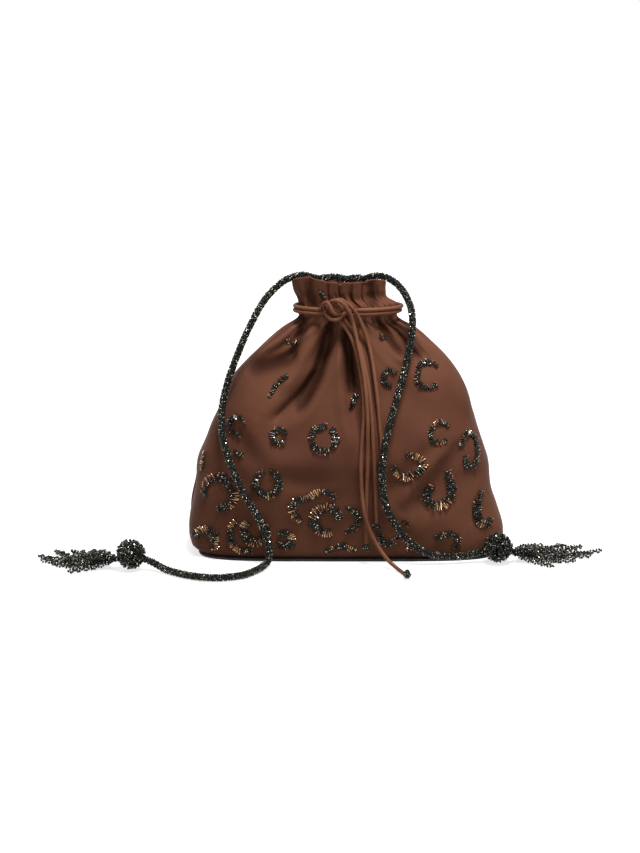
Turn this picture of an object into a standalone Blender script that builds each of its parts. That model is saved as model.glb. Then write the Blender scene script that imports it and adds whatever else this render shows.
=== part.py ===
"""Potli bag: a gathered satin pouch with a drawcord, a beaded strap and sewn bead spots.

Metres, +Z up. The origin is on the floor under the middle of the bag, and the front faces -Y.
"""

from math import cos, pi, radians, sin

import bmesh
import bpy
import numpy as np
from mathutils import Matrix, Vector
from mathutils.bvhtree import BVHTree

MM = 0.001

# Driving dimensions
BAG_WIDTH = 252 * MM
BAG_DEPTH = 110 * MM
BODY_HEIGHT = 188 * MM
NECK_WIDTH = 80 * MM
NECK_DEPTH = 45 * MM
RUFFLE_HEIGHT = 28.5 * MM
RUFFLE_WIDTH = 73 * MM
RUFFLE_DEPTH = 37 * MM
CLOTH_WALL = 1.2 * MM
LINING_WALL = 0.7 * MM
BASE_PANEL_WALL = 2 * MM
DRAWCORD = 3 * MM
STRAP = 6 * MM
STRAP_BALL = 25 * MM
TAIL_BALL = 7.8 * MM
FRINGE_STRAND = 2.4 * MM
KEEPER_THREAD = 0.8 * MM
BEAD_HEIGHT = 1.8 * MM

# Clearances
GAP = 0.3 * MM
BEAD_GAP = 0.5 * MM
CLOTH_FOOT = BASE_PANEL_WALL + GAP

# Mesh fineness
FRONT_COLUMNS = 50
BACK_COLUMNS = 26
BODY_RINGS = (0.0, 0.012, 0.045, 0.10, 0.18, 0.27, 0.36, 0.44, 0.52, 0.60, 0.68, 0.76, 0.83, 0.89, 0.94, 0.98)
RUFFLE_RINGS = (0.10, 0.28, 0.40, 0.54, 0.76, 1.0)
OUTLINE_STEPS = 60
CORD_SIDES = 6

# Cloth sections, floor to rim: height, width and depth as shares, squareness, sideways lean
BODY_SECTIONS = (
    (0.000, 0.945, 0.890, 4.6, 0.000),
    (0.012, 0.972, 0.905, 4.4, 0.000),
    (0.045, 0.994, 0.925, 4.0, -0.002),
    (0.096, 1.000, 0.940, 3.6, -0.004),
    (0.176, 0.980, 0.960, 3.3, -0.018),
    (0.335, 0.922, 0.985, 2.8, -0.028),
    (0.415, 0.900, 1.000, 2.7, -0.028),
    (0.495, 0.866, 0.965, 2.6, -0.016),
    (0.649, 0.778, 0.830, 2.4, -0.007),
    (0.777, 0.681, 0.665, 2.2, 0.000),
    (0.883, 0.537, 0.520, 2.1, 0.008),
    (0.950, 0.425, 0.445, 2.0, 0.010),
)
NECK_SECTIONS = (
    (0.00, 1.000, 1.000, 2.0, 0.000),
    (0.12, 1.000, 1.000, 2.0, 0.000),
    (0.38, 0.991, 0.984, 2.0, 0.000),
)
RUFFLE_SECTIONS = (
    (0.50, 1.00, 1.02, 2.2, -0.048),
    (0.75, 1.00, 0.98, 2.4, -0.085),
    (1.00, 1.02, 1.00, 2.4, -0.092),
)

# Folds that run down the cloth: height share and place across, then width and depth
FOLD_FADE = 0.3
SHOULDER_RISE = 0.4
SHOULDER_PLACE = 1.8
SHOULDER_SHARPNESS = 1.4
FRONT_FOLDS = (
    (((0.93, -0.27), (0.78, -0.34), (0.67, -0.43), (0.57, -0.54)), 9 * MM, 4.5 * MM),
    (((0.94, -0.01), (0.76, 0.04), (0.64, 0.06), (0.50, 0.11)), 5.2 * MM, 4.0 * MM),
    (((0.96, 0.33), (0.88, 0.42), (0.80, 0.52)), 4.5 * MM, 2.6 * MM),
    (((0.98, -0.62), (0.92, -0.72), (0.85, -0.84)), 4.0 * MM, 2.6 * MM),
    (((0.95, 0.62), (0.84, 0.70), (0.70, 0.74)), 7.0 * MM, 2.2 * MM),
    (((0.82, 0.50), (0.60, 0.40), (0.38, 0.32)), 14 * MM, 2.6 * MM),
    (((0.54, 0.84), (0.40, 0.58), (0.22, 0.32)), 9 * MM, -2.4 * MM),
    (((0.66, -0.72), (0.50, -0.62), (0.34, -0.50)), 13 * MM, -2.0 * MM),
    (((0.30, 0.02), (0.16, 0.10)), 16 * MM, 1.6 * MM),
)
BACK_FOLDS = (
    (((0.95, 0.40), (0.78, 0.52), (0.60, 0.64)), 8 * MM, 3.6 * MM),
    (((0.95, 0.05), (0.75, 0.02), (0.50, -0.04)), 6 * MM, 3.8 * MM),
    (((0.95, -0.36), (0.78, -0.48), (0.62, -0.58)), 7 * MM, 3.2 * MM),
    (((0.50, -0.70), (0.22, -0.36)), 14 * MM, -2.2 * MM),
)
# Pleats of the ruffle: place across at the cords and at the rim, then width and depth
PLEAT_START = 0.2
PLEAT_FADE = 0.35
FRONT_PLEATS = (
    (-0.36, -0.23, 1.5 * MM, 2.4 * MM),
    (-0.13, 0.02, 1.5 * MM, 2.4 * MM),
    (0.11, 0.28, 1.5 * MM, 2.4 * MM),
    (0.34, 0.53, 1.5 * MM, 2.4 * MM),
    (-0.74, -0.68, 3.4 * MM, 1.5 * MM),
    (0.66, 0.80, 3.0 * MM, 1.5 * MM),
)
BACK_PLEATS = 7
BACK_PLEAT_WIDTH = 1.8 * MM
BACK_PLEAT_DEPTH = 2.0 * MM
BACK_PLEAT_SPAN = 1.5
# Rise and dip of the rim: place around (front 0 to 1, back 1 to 2), width, rise
RIM_WAVES = (
    (0.22, 0.15, 3.5 * MM),
    (0.82, 0.10, 1.5 * MM),
    (1.07, 0.10, -2.8 * MM),
    (1.93, 0.10, -2.3 * MM),
    (1.50, 0.25, -2.5 * MM),
)
# Gathers under and behind the cords: where they start and end, and how unevenly they lie
GATHERS = 13
GATHER_DEPTH = 2.0 * MM
GATHER_START = 0.86
GATHER_RISE = 0.09
GATHER_END = 0.55
GATHER_FALL = 0.35
GATHER_DRIFT = 0.35
GATHER_DRIFT_WAVES = 2.5
SIDE_SEAM_FADE = 0.10
NECK_FADE = 0.06
CORD_SHARE = 0.40

# Lining: rings as shares of the body and of the ruffle, and how loosely it hangs
LINING_COLUMNS = 18
LINING_RINGS = (0.0, 0.03, 0.12, 0.34, 0.56, 0.72, 0.84, 0.92, 0.98)
LINING_RUFFLE_RINGS = (0.10, 0.36, 0.52, 0.88)
LINING_TAPER = 0.82
BODY_SLACK = 7 * MM
RUFFLE_SLACK = 2.5 * MM
PANEL_EDGE = 0.6 * MM

# Drawcord: two turns round the neck, a knot left of the middle and four tails with bead balls
UPPER_TURN_RISE = 8 * MM
UPPER_TURN_HEIGHT = BODY_HEIGHT + UPPER_TURN_RISE
LOOP_SAMPLES = 400
LOOP_STRIDE = 8
ROUTE_CLEARANCE = 1.15
KNOT_X = -9.5 * MM
KNOT_RISE = 0.5 * MM
KNOT_WIDTH = 19 * MM
KNOT_HEIGHT = 17 * MM
KNOT_THICKNESS = 9 * MM
# Strands over the knot: across, outward and upward from its middle, as shares of its size
KNOT_STRANDS = (
    ("knot_strand_crossing", ((-0.36, 0.10, 0.10), (-0.40, 0.40, 0.26), (-0.20, 0.62, 0.18),
                              (-0.02, 0.62, -0.10), (0.16, 0.30, -0.26))),
    ("knot_strand_under", ((-0.34, 0.20, 0.00), (-0.30, 0.52, -0.30), (0.00, 0.60, -0.42),
                           (0.28, 0.52, -0.24), (0.36, 0.10, 0.00))),
)
# Each tail in mm: its route down the front, and the middle of its ball
TAIL_ROUTES = (
    (((-5.0, -28.0, 187.0), (0.9, -29.8, 178.4), (5.1, -33.0, 169.4), (8.0, -36.2, 158.4),
      (10.2, -41.4, 147.0), (12.0, -47.3, 133.2), (12.4, -51.2, 120.5), (11.7, -53.0, 106.8),
      (10.5, -56.0, 91.5), (10.1, -58.0, 74.5), (11.1, -59.2, 56.0), (13.5, -61.4, 39.5),
      (18.4, -61.6, 26.0), (24.4, -63.4, 14.9), (32.0, -69.4, 6.2), (39.0, -78.0, 2.1),
      (42.5, -88.0, 1.9)), (44.7, -98.2, 4.2)),
    (((-14.0, -30.0, 203.0), (-12.0, -32.0, 204.3), (-8.3, -33.8, 204.8), (-3.9, -34.4, 202.8),
      (0.5, -33.6, 197.0), (4.2, -31.5, 186.0), (7.3, -35.6, 173.4), (10.1, -40.8, 161.2),
      (12.5, -46.2, 147.4), (14.2, -51.9, 132.0), (15.2, -55.2, 115.5), (15.3, -56.4, 95.8),
      (15.2, -57.4, 76.2), (14.5, -57.2, 55.9), (14.4, -57.0, 35.5), (14.4, -56.8, 21.0)),
     (14.4, -57.6, 14.1)),
    (((-1.2, -27.5, 187.0), (3.6, -27.4, 179.8), (8.1, -31.0, 171.3), (11.6, -36.4, 160.1),
      (14.6, -42.0, 146.5), (16.9, -47.8, 131.1), (18.4, -52.8, 114.8), (19.6, -56.2, 95.7),
      (20.7, -56.8, 76.0), (21.6, -56.9, 55.6), (22.2, -57.4, 39.4)), (22.4, -58.2, 30.6)),
    (((-8.5, -29.2, 204.6), (-5.0, -29.8, 204.8), (-1.5, -30.0, 202.5), (3.9, -29.8, 197.8),
      (8.8, -27.8, 189.9), (13.0, -28.6, 180.0), (16.6, -31.6, 168.7), (19.2, -36.2, 156.2),
      (21.4, -42.0, 141.6), (23.3, -47.5, 125.4), (24.8, -51.8, 108.9), (26.0, -54.8, 95.2),
      (26.3, -56.4, 86.0)), (26.4, -57.8, 77.5)),
)

# Strap: one beaded rope that lies in the mouth and hangs down both sides of the front
KEEPER_TURNS = 16
LEFT_KEEPER_X = -20.0
RIGHT_KEEPER_X = 9.3
LEFT_STRAP_BALL = (-168.0, -72.0)
RIGHT_STRAP_BALL = (117.8, -53.2)
STRAP_ROUTE = (
    (-152.0, -73.6, 7.0), (-140.1, -82.4, 3.4), (-127.8, -94.1, 3.3), (-115.1, -101.7, 3.3),
    (-102.8, -104.9, 3.3), (-90.7, -103.0, 3.3), (-80.3, -97.6, 3.3), (-71.5, -85.8, 3.3),
    (-65.1, -71.6, 3.4), (-61.6, -62.0, 6.0), (-61.0, -57.6, 13.0), (-63.2, -56.9, 21.4),
    (-67.9, -56.6, 33.9), (-74.0, -55.8, 45.0), (-80.3, -54.6, 56.2), (-86.4, -52.4, 67.6),
    (-91.5, -49.6, 79.6), (-95.6, -44.6, 91.4), (-98.2, -37.0, 103.1), (-98.9, -30.0, 113.6),
    (-97.8, -24.6, 123.7), (-95.3, -22.9, 134.3), (-92.3, -21.9, 144.1), (-88.3, -20.9, 155.1),
    (-83.9, -19.2, 166.0), (-79.3, -16.7, 176.5), (-74.1, -13.7, 186.7), (-69.4, -10.4, 195.2),
    (-64.2, -6.2, 202.6), (-57.9, -1.6, 209.1), (-51.0, 1.8, 214.6), (-43.8, 5.0, 218.0),
    (-35.5, 6.6, 219.4), (-29.6, 7.2, 218.2), (-23.2, 8.1, 216.4), (-17.6, 8.1, 217.0),
    (-11.3, 8.1, 217.8), (-5.8, 8.1, 217.0), (-0.2, 8.1, 215.8), (5.3, 7.9, 217.0),
    (9.3, 7.6, 216.8), (13.2, 7.3, 216.2), (18.8, 6.9, 218.0), (24.5, 6.5, 218.9),
    (30.8, 5.2, 217.6), (37.0, 2.8, 214.4), (42.2, -0.6, 209.9), (46.4, -6.0, 203.8),
    (49.4, -11.8, 196.8), (50.8, -16.0, 188.8), (50.6, -20.6, 179.4), (49.0, -25.8, 170.0),
    (46.2, -32.8, 158.2), (43.0, -38.2, 146.1), (39.0, -44.0, 133.4), (35.2, -49.4, 120.8),
    (31.4, -57.4, 108.8), (28.2, -63.6, 95.6), (26.6, -67.2, 82.2), (26.5, -66.8, 75.0),
    (26.6, -63.6, 66.6), (28.5, -60.0, 52.8), (32.8, -60.6, 40.3), (40.0, -60.2, 28.8),
    (48.1, -59.0, 18.9), (56.7, -58.2, 12.1), (68.0, -57.2, 7.8), (80.7, -55.8, 6.1),
    (93.4, -53.4, 6.5), (103.5, -51.6, 8.5),
)
# Fringe strands in mm on the floor: a middle place and the tip of each
FRINGE_CAP = 4 * FRINGE_STRAND
LANDING_SHARE = 0.55
LANDING_LIFT = 0.25
LEFT_FRINGE_LEAN = (-0.92, 0.14, -0.36)
LEFT_FRINGE = (
    ((-196.0, -45.0), (-193.9, -25.5)),
    ((-203.0, -50.0), (-210.5, -27.0)),
    ((-209.0, -54.0), (-231.5, -28.5)),
    ((-214.0, -59.5), (-242.5, -41.0)),
    ((-211.0, -65.5), (-238.5, -53.5)),
    ((-208.0, -71.5), (-227.5, -66.0)),
    ((-202.0, -77.5), (-213.5, -83.5)),
)
RIGHT_FRINGE_LEAN = (0.90, 0.22, -0.36)
RIGHT_FRINGE = (
    ((147.0, -31.5), (151.5, -9.0)),
    ((154.0, -33.0), (170.5, -8.5)),
    ((160.0, -36.5), (187.5, -13.5)),
    ((163.0, -42.0), (201.0, -25.5)),
    ((160.0, -48.0), (190.5, -40.0)),
    ((155.0, -54.0), (176.5, -54.5)),
    ((148.0, -60.0), (158.5, -69.0)),
)

# Bead spots, as shares of half the width and of the height: middle, radius in mm, first angle,
# turn, and bead length in mm
SPOT_STEP = 3.8 * MM
# Section of a ridge of beads: place across its half length, and lift as a share of its height
RIDGE_SECTION = ((-1.0, 0.0), (0.0, 0.0), (1.0, 0.0), (0.8, 1.0), (-0.8, 1.0))
FRONT_SPOTS = (
    (-0.680, 0.566, 6.4, 25, 265, 4.8),
    (-0.796, 0.286, 11.8, -94, 297, 8.2),
    (-0.496, 0.341, 9.4, 105, 330, 6.4),
    (-0.421, 0.536, 5.4, 15, 290, 5.2),
    (-0.150, 0.530, 9.6, 75, 105, 5.8),
    (-0.150, 0.530, 9.6, 200, 95, 6.2),
    (-0.150, 0.530, 9.6, -42, 92, 5.8),
    (-0.131, 0.185, 10.2, 5, 285, 8.2),
    (-0.008, 0.186, 9.2, -95, 185, 5.2),
    (-0.576, 0.136, 9.1, 130, 285, 7.4),
    (-0.392, 0.100, 5.8, -150, 280, 6.8),
    (0.262, 0.767, 5.8, 50, 225, 4.4),
    (0.499, 0.772, 9.2, 40, 270, 5.0),
    (0.567, 0.546, 7.6, 35, 275, 4.2),
)
FRONT_TRAILS = (
    (4.0, ((-0.700, 0.461), (-0.645, 0.452))),
    (5.0, ((-0.893, 0.438), (-0.903, 0.403), (-0.906, 0.366))),
    (2.6, ((-0.480, 0.694), (-0.444, 0.733), (-0.370, 0.775))),
    (6.2, ((-0.290, 0.182), (-0.333, 0.210), (-0.342, 0.250), (-0.306, 0.278), (-0.249, 0.282),
           (-0.192, 0.305), (-0.129, 0.308), (-0.082, 0.286))),
    (8.0, ((-0.962, 0.086), (-0.920, 0.112), (-0.869, 0.126), (-0.832, 0.109), (-0.824, 0.076),
           (-0.826, 0.046))),
    (5.8, ((-0.699, 0.173), (-0.731, 0.132), (-0.726, 0.090), (-0.695, 0.058), (-0.645, 0.046),
           (-0.596, 0.048))),
    (5.2, ((-0.134, 0.050), (-0.088, 0.064), (-0.026, 0.072), (0.022, 0.062), (0.050, 0.055))),
    (5.8, ((0.698, 0.487), (0.714, 0.518), (0.748, 0.529), (0.784, 0.512), (0.805, 0.478), (0.807, 0.441),
           (0.795, 0.404), (0.763, 0.390), (0.734, 0.410), (0.727, 0.438))),
    (6.4, ((0.360, 0.464), (0.410, 0.457), (0.452, 0.441), (0.469, 0.420), (0.450, 0.397), (0.404, 0.378),
           (0.355, 0.364), (0.308, 0.381), (0.279, 0.412))),
    (7.6, ((0.619, 0.384), (0.630, 0.357), (0.644, 0.327), (0.650, 0.297), (0.623, 0.264), (0.579, 0.242),
           (0.534, 0.243), (0.494, 0.262), (0.492, 0.294), (0.524, 0.326))),
    (7.6, ((0.831, 0.284), (0.810, 0.256), (0.802, 0.220), (0.809, 0.180), (0.838, 0.150), (0.873, 0.147),
           (0.896, 0.166))),
    (5.6, ((0.543, 0.104), (0.587, 0.116), (0.638, 0.120), (0.680, 0.105), (0.684, 0.080), (0.658, 0.064))),
    (5.6, ((0.196, 0.129), (0.204, 0.103), (0.238, 0.082), (0.281, 0.088), (0.310, 0.113))),
    (3.6, ((0.340, 0.183), (0.380, 0.164))),
    (4.6, ((0.374, 0.054), (0.394, 0.076), (0.434, 0.086))),
    (3.4, ((-0.375, 0.904), (-0.310, 0.898))),
    (2.8, ((0.196, 0.930), (0.232, 0.918))),
    (3.2, ((0.010, 0.650), (0.062, 0.702))),
    (3.2, ((-0.172, 1.112), (-0.142, 1.088))),
)
BACK_SPOTS = (
    (-0.620, 0.250, 10.5, -60, 285, 6.4),
    (-0.200, 0.180, 9.0, 110, 290, 5.4),
    (0.240, 0.260, 10.0, 20, 280, 6.0),
    (0.660, 0.200, 9.5, 200, 275, 5.8),
    (-0.420, 0.520, 8.0, 40, 300, 4.8),
    (0.300, 0.540, 9.0, 150, 275, 5.2),
)

SATIN = (0.107, 0.042, 0.025, 1.0)
LINING = (0.63, 0.42, 0.38, 1.0)
CORD_BROWN = (0.185, 0.072, 0.039, 1.0)
BEAD_BLACK = (0.012, 0.010, 0.009, 1.0)
BASE_BLACK = (0.014, 0.012, 0.012, 1.0)
THREAD = (0.55, 0.50, 0.44, 1.0)


def clear_scene():
    for thing in list(bpy.data.objects):
        bpy.data.objects.remove(thing, do_unlink=True)


def make_material(name, colour, roughness, metallic=0.0):
    material = bpy.data.materials.new(name)
    material.use_nodes = True
    shader = material.node_tree.nodes["Principled BSDF"]
    shader.inputs["Base Color"].default_value = colour
    shader.inputs["Roughness"].default_value = roughness
    shader.inputs["Metallic"].default_value = metallic
    return material


def add_object(name, mesh, material):
    thing = bpy.data.objects.new(name, mesh)
    bpy.context.collection.objects.link(thing)
    mesh.materials.clear()
    mesh.materials.append(material)
    return thing


def mesh_from(name, points, faces):
    """A mesh from points and faces, with every face turned outward."""
    mesh = bpy.data.meshes.new(name)
    mesh.from_pydata([tuple(p) for p in points], [], faces)
    work = bmesh.new()
    work.from_mesh(mesh)
    bmesh.ops.recalc_face_normals(work, faces=work.faces)
    work.to_mesh(mesh)
    work.free()
    mesh.shade_smooth()
    mesh.set_sharp_from_angle(angle=radians(60))
    return mesh


# The cloth surface

def smooth_rows(rows, at):
    """Read every column of a table at the keys `at`, on a smooth curve through its rows."""
    rows = np.asarray(rows, float)
    key = rows[:, 0]
    values = rows[:, 1:]
    slopes = np.gradient(values, key, axis=0)
    at = np.clip(np.asarray(at, float), key[0], key[-1])
    low = np.clip(np.searchsorted(key, at, side="right") - 1, 0, len(key) - 2)
    span = (key[low + 1] - key[low])[..., None]
    t = ((at - key[low]))[..., None] / span
    rise = values[low + 1] - values[low]
    bend = 3 * t ** 2 - 2 * t ** 3
    leave = slopes[low] * span * (t ** 3 - 2 * t ** 2 + t)
    arrive = slopes[low + 1] * span * (t ** 3 - t ** 2)
    return values[low] + rise * bend + leave + arrive


def body_height(share):
    """Height above the floor of a share of the body, which starts on the base panel."""
    return CLOTH_FOOT + share * (BODY_HEIGHT - CLOTH_FOOT)


def ruffle_height(share):
    """Height above the floor of a share of the neck and ruffle, which stand on the body."""
    return BODY_HEIGHT + share * RUFFLE_HEIGHT


def section_table():
    """Height, half width, half depth, squareness and lean of each cloth section, in metres."""
    rows = []
    for height, width, depth, squareness, lean in BODY_SECTIONS:
        rows.append((body_height(height), width * BAG_WIDTH / 2, depth * BAG_DEPTH / 2,
                     squareness, lean * BAG_WIDTH / 2))
    for sections, full_width, full_depth in ((NECK_SECTIONS, NECK_WIDTH, NECK_DEPTH),
                                             (RUFFLE_SECTIONS, RUFFLE_WIDTH, RUFFLE_DEPTH)):
        for height, width, depth, squareness, lean in sections:
            rows.append((ruffle_height(height), width * full_width / 2, depth * full_depth / 2,
                         squareness, lean * full_width))
    return rows


def smoothstep(x):
    x = np.clip(x, 0, 1)
    return x * x * (3 - 2 * x)


def half_loop(half_width, half_depth, squareness, shares):
    """Points of half a rounded outline at even shares of its length, from -X over +Y to +X."""
    corner = 0.5 ** (1 / squareness)
    climb = np.linspace(0, corner, OUTLINE_STEPS)
    side_x = (1 - climb ** squareness) ** (1 / squareness)
    x = np.concatenate((side_x, climb[-2::-1])) * half_width
    y = np.concatenate((climb, side_x[-2::-1])) * half_depth
    x = np.concatenate((-x, x[-2::-1]))
    y = np.concatenate((y, y[-2::-1]))
    length = np.concatenate(([0], np.cumsum(np.hypot(np.diff(x), np.diff(y)))))
    at = np.asarray(shares) * length[-1]
    return np.interp(at, length, x), np.interp(at, length, y)


def fold_relief(path, width, depth, height, across, half_width):
    """A valley (or a ridge, with a negative depth) that runs down the cloth along its path."""
    rows = sorted(path)
    centre = smooth_rows(rows, height)[..., 0]
    low = rows[0][0]
    high = rows[-1][0]
    fade = FOLD_FADE * (high - low)
    rising = smoothstep((height - low + fade) / (2 * fade))
    falling = smoothstep((high + fade - height) / (2 * fade))
    offset = (across - centre) * half_width / width
    valley = np.exp(-offset ** 2)
    shoulders = SHOULDER_RISE * np.exp(-SHOULDER_SHARPNESS * (np.abs(offset) - SHOULDER_PLACE) ** 2)
    return -depth * rising * falling * (valley - shoulders)


def pleat_relief(low_place, high_place, width, depth, share, across, half_width):
    """A slit between two pleats, from the cords up to the rim."""
    centre = low_place + (high_place - low_place) * share
    offset = (across - centre) * half_width / width
    return -depth * smoothstep((share - PLEAT_START) / PLEAT_FADE) * np.exp(-offset ** 2)


def cloth_relief(height, around, across, half_width):
    """How far folds, gathers and pleats push the cloth out of its plain outline."""
    body_share = height / BODY_HEIGHT
    ruffle_share = (height - BODY_HEIGHT) / RUFFLE_HEIGHT
    off_side = smoothstep((1 - np.abs(across)) / SIDE_SEAM_FADE)
    front = np.where(around < 1, off_side, 0.0)
    back = off_side - front
    below_neck = smoothstep((1 - body_share) / NECK_FADE)
    relief = np.zeros_like(around)
    for side, folds in ((front, FRONT_FOLDS), (back, BACK_FOLDS)):
        for path, width, depth in folds:
            relief += side * below_neck * fold_relief(path, width, depth, body_share, across, half_width)
    back_places = [BACK_PLEAT_SPAN * ((i + 0.5) / BACK_PLEATS - 0.5) for i in range(BACK_PLEATS)]
    back_pleats = [(place, place, BACK_PLEAT_WIDTH, BACK_PLEAT_DEPTH) for place in back_places]
    for side, pleats in ((front, FRONT_PLEATS), (back, back_pleats)):
        for pleat in pleats:
            relief += side * pleat_relief(*pleat, ruffle_share, across, half_width)
    bunch_start = smoothstep((body_share - GATHER_START) / GATHER_RISE)
    bunch_end = smoothstep((GATHER_END - ruffle_share) / GATHER_FALL)
    drift = GATHER_DRIFT * np.sin(2 * pi * GATHER_DRIFT_WAVES * around)
    wave = 0.5 - 0.5 * np.cos(2 * pi * (GATHERS * around + drift))
    return relief - GATHER_DEPTH * bunch_start * bunch_end * wave


def rim_rise(around):
    """How far the rim stands above or below its plain height."""
    rise = np.zeros_like(around)
    for place, width, height in RIM_WAVES:
        away = np.abs(around - place)
        rise += height * np.exp(-(np.minimum(away, 2 - away) / width) ** 2)
    return rise


def cloth_ring(height, around, inset=0.0, relief=1.0):
    """One closed ring of the cloth, `inset` inside its outer face: an array of points."""
    half_width, half_depth, squareness, lean = smooth_rows(section_table(), height)
    share = np.where(around < 1, around, 2 - around)
    x, y = half_loop(half_width, half_depth, squareness, share)
    y = np.where(around < 1, -y, y)
    normal = np.stack((np.sign(x) * np.abs(x / half_width) ** (squareness - 1) / half_width,
                       np.sign(y) * np.abs(y / half_depth) ** (squareness - 1) / half_depth), axis=1)
    normal /= np.linalg.norm(normal, axis=1)[:, None]
    level = np.full_like(around, height)
    push = relief * cloth_relief(level, around, x / half_width, half_width) - inset
    above_cords = (height - ruffle_height(CORD_SHARE)) / (ruffle_height(1) - ruffle_height(CORD_SHARE))
    z = level + smoothstep(above_cords) * rim_rise(around)
    return np.stack((x + lean + push * normal[:, 0], y + push * normal[:, 1], z), axis=1)


def smooth_route(points, spacing):
    """Even points along a smooth curve through a route's own points."""
    points = np.asarray(points, float)
    run = np.concatenate(([0], np.cumsum(np.linalg.norm(np.diff(points, axis=0), axis=1))))
    count = max(2, round(run[-1] / spacing)) + 1
    return smooth_rows(np.column_stack((run, points)), np.linspace(0, run[-1], count))


def around_shares(front, back):
    return np.concatenate((np.arange(front) / front, 1 + np.arange(back) / back))


def shell_mesh(name, outer_rings, inner_rings):
    """A cup with a wall: outer rings bottom to rim, inner rings rim to bottom, two flat bottoms."""
    rings = list(outer_rings) + list(inner_rings)[::-1]
    count = len(rings[0])
    faces = []
    for row in range(len(rings) - 1):
        for i in range(count):
            j = (i + 1) % count
            faces.append((row * count + i, row * count + j,
                          (row + 1) * count + j, (row + 1) * count + i))
    faces.append(tuple(range(count)))
    faces.append(tuple(range((len(rings) - 1) * count, len(rings) * count)))
    return mesh_from(name, np.concatenate(rings), faces)


def ring_heights(body_shares, ruffle_shares):
    return [body_height(share) for share in body_shares] + [ruffle_height(share) for share in ruffle_shares]


def build_outer_shell(material):
    """The satin bag itself, with its folds, gathers and ruffle, open at the mouth."""
    around = around_shares(FRONT_COLUMNS, BACK_COLUMNS)
    heights = ring_heights(BODY_RINGS, RUFFLE_RINGS)
    floor = CLOTH_FOOT + CLOTH_WALL
    outer = [cloth_ring(height, around) for height in heights]
    inner = [cloth_ring(height, around, CLOTH_WALL) for height in heights if height > floor + CLOTH_WALL]
    bottom = inner[0].copy()
    bottom[:, 2] = floor
    return add_object("outer_shell", shell_mesh("outer_shell", outer, [bottom] + inner), material)


def build_lining(material):
    """The loose inner bag: smooth, clear of every fold of the outer cloth, and sewn below the rim."""
    around = around_shares(LINING_COLUMNS, LINING_COLUMNS)
    floor = CLOTH_FOOT + CLOTH_WALL + GAP
    slack_heights = (LINING_TAPER * BODY_HEIGHT, BODY_HEIGHT)
    outer = []
    inner = []
    for height in ring_heights(LINING_RINGS, LINING_RUFFLE_RINGS):
        slack = np.interp(height, slack_heights, (BODY_SLACK, RUFFLE_SLACK))
        inset = CLOTH_WALL + GAP + slack
        outer.append(cloth_ring(height, around, inset, relief=0))
        inner.append(cloth_ring(height, around, inset + LINING_WALL, relief=0))
    outer[0][:, 2] = floor
    inner[0][:, 2] = floor + LINING_WALL
    return add_object("lining", shell_mesh("lining", outer, inner), material)


def build_base_panel(material):
    """The stiff flat panel under the cloth that the bag stands on."""
    around = around_shares(LINING_COLUMNS, LINING_COLUMNS)
    rings = []
    for height, inset in ((0.0, PANEL_EDGE), (PANEL_EDGE, 0.0), (BASE_PANEL_WALL, 0.0)):
        ring = cloth_ring(CLOTH_FOOT, around, inset, relief=0)
        ring[:, 2] = height
        rings.append(ring)
    return add_object("base_panel", shell_mesh("base_panel", rings, []), material)


# Cords, beads and threads

def cord_object(name, points, diameter, material):
    """A cord: a tube along points, with filled ends."""
    curve = bpy.data.curves.new(name, "CURVE")
    curve.dimensions = "3D"
    curve.bevel_depth = diameter / 2
    curve.bevel_resolution = 2
    curve.use_fill_caps = True
    spline = curve.splines.new("POLY")
    spline.points.add(len(points) - 1)
    for point, place in zip(spline.points, points):
        point.co = (*place, 1)
    thing = bpy.data.objects.new(name, curve)
    bpy.context.collection.objects.link(thing)
    curve.materials.append(material)
    return thing


def tube_mesh(name, points, radius):
    """A closed tube with flat ends, its rings turned to follow the path."""
    points = [Vector(p) for p in points]
    rings = []
    side = Vector((1, 0, 0))
    for i, point in enumerate(points):
        ahead = (points[min(i + 1, len(points) - 1)] - points[max(i - 1, 0)]).normalized()
        side = (side - ahead * side.dot(ahead)).normalized()
        up = ahead.cross(side)
        angles = [2 * pi * k / CORD_SIDES for k in range(CORD_SIDES)]
        rings.append(np.array([point + radius * (cos(angle) * side + sin(angle) * up) for angle in angles]))
    return shell_mesh(name, rings, [])


def ball_mesh(name, radius, segments):
    mesh = bpy.data.meshes.new(name)
    work = bmesh.new()
    bmesh.ops.create_uvsphere(work, u_segments=segments, v_segments=segments * 5 // 8, radius=radius)
    work.to_mesh(mesh)
    work.free()
    mesh.shade_smooth()
    return mesh


def ball_object(name, centre, diameter, material, segments=14):
    thing = add_object(name, ball_mesh(name, diameter / 2, segments), material)
    thing.location = centre
    return thing


def join_to(carrier, pieces):
    """Boolean unions that make the pieces one body with their carrier."""
    for piece in pieces:
        piece.hide_render = True
        piece.display_type = "WIRE"
        union = carrier.modifiers.new(piece.name, "BOOLEAN")
        union.operation = "UNION"
        union.solver = "EXACT"
        union.object = piece


def meet_ball(points, centre, reach):
    """Cut a route off where it reaches a ball, so that its end faces the ball's middle."""
    centre = np.asarray(centre, float)
    kept = [p for p in points if np.linalg.norm(np.asarray(p) - centre) > reach * ROUTE_CLEARANCE]
    last = np.asarray(kept[-1], float)
    away = (last - centre) / np.linalg.norm(last - centre)
    return kept + [tuple(centre + away * reach)]


def scaled(points):
    return [tuple(value * MM for value in point) for point in points]


def neck_loop(height):
    """The line of one turn of drawcord round the neck, from the knot's right side to its left."""
    around = np.linspace(0, 2, LOOP_SAMPLES, endpoint=False)
    ring = cloth_ring(height, around, -(GAP + DRAWCORD / 2), relief=0)
    ring[:, 2] = height
    in_front = (ring[:, 1] < 0) & (np.abs(ring[:, 0] - KNOT_X) < KNOT_WIDTH / 2 + GAP)
    first = int(np.flatnonzero(in_front)[-1]) + 1
    ring = np.roll(ring, -first, axis=0)[:LOOP_SAMPLES - int(in_front.sum())]
    return smooth_route(ring[::LOOP_STRIDE], 1.5 * DRAWCORD)


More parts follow.
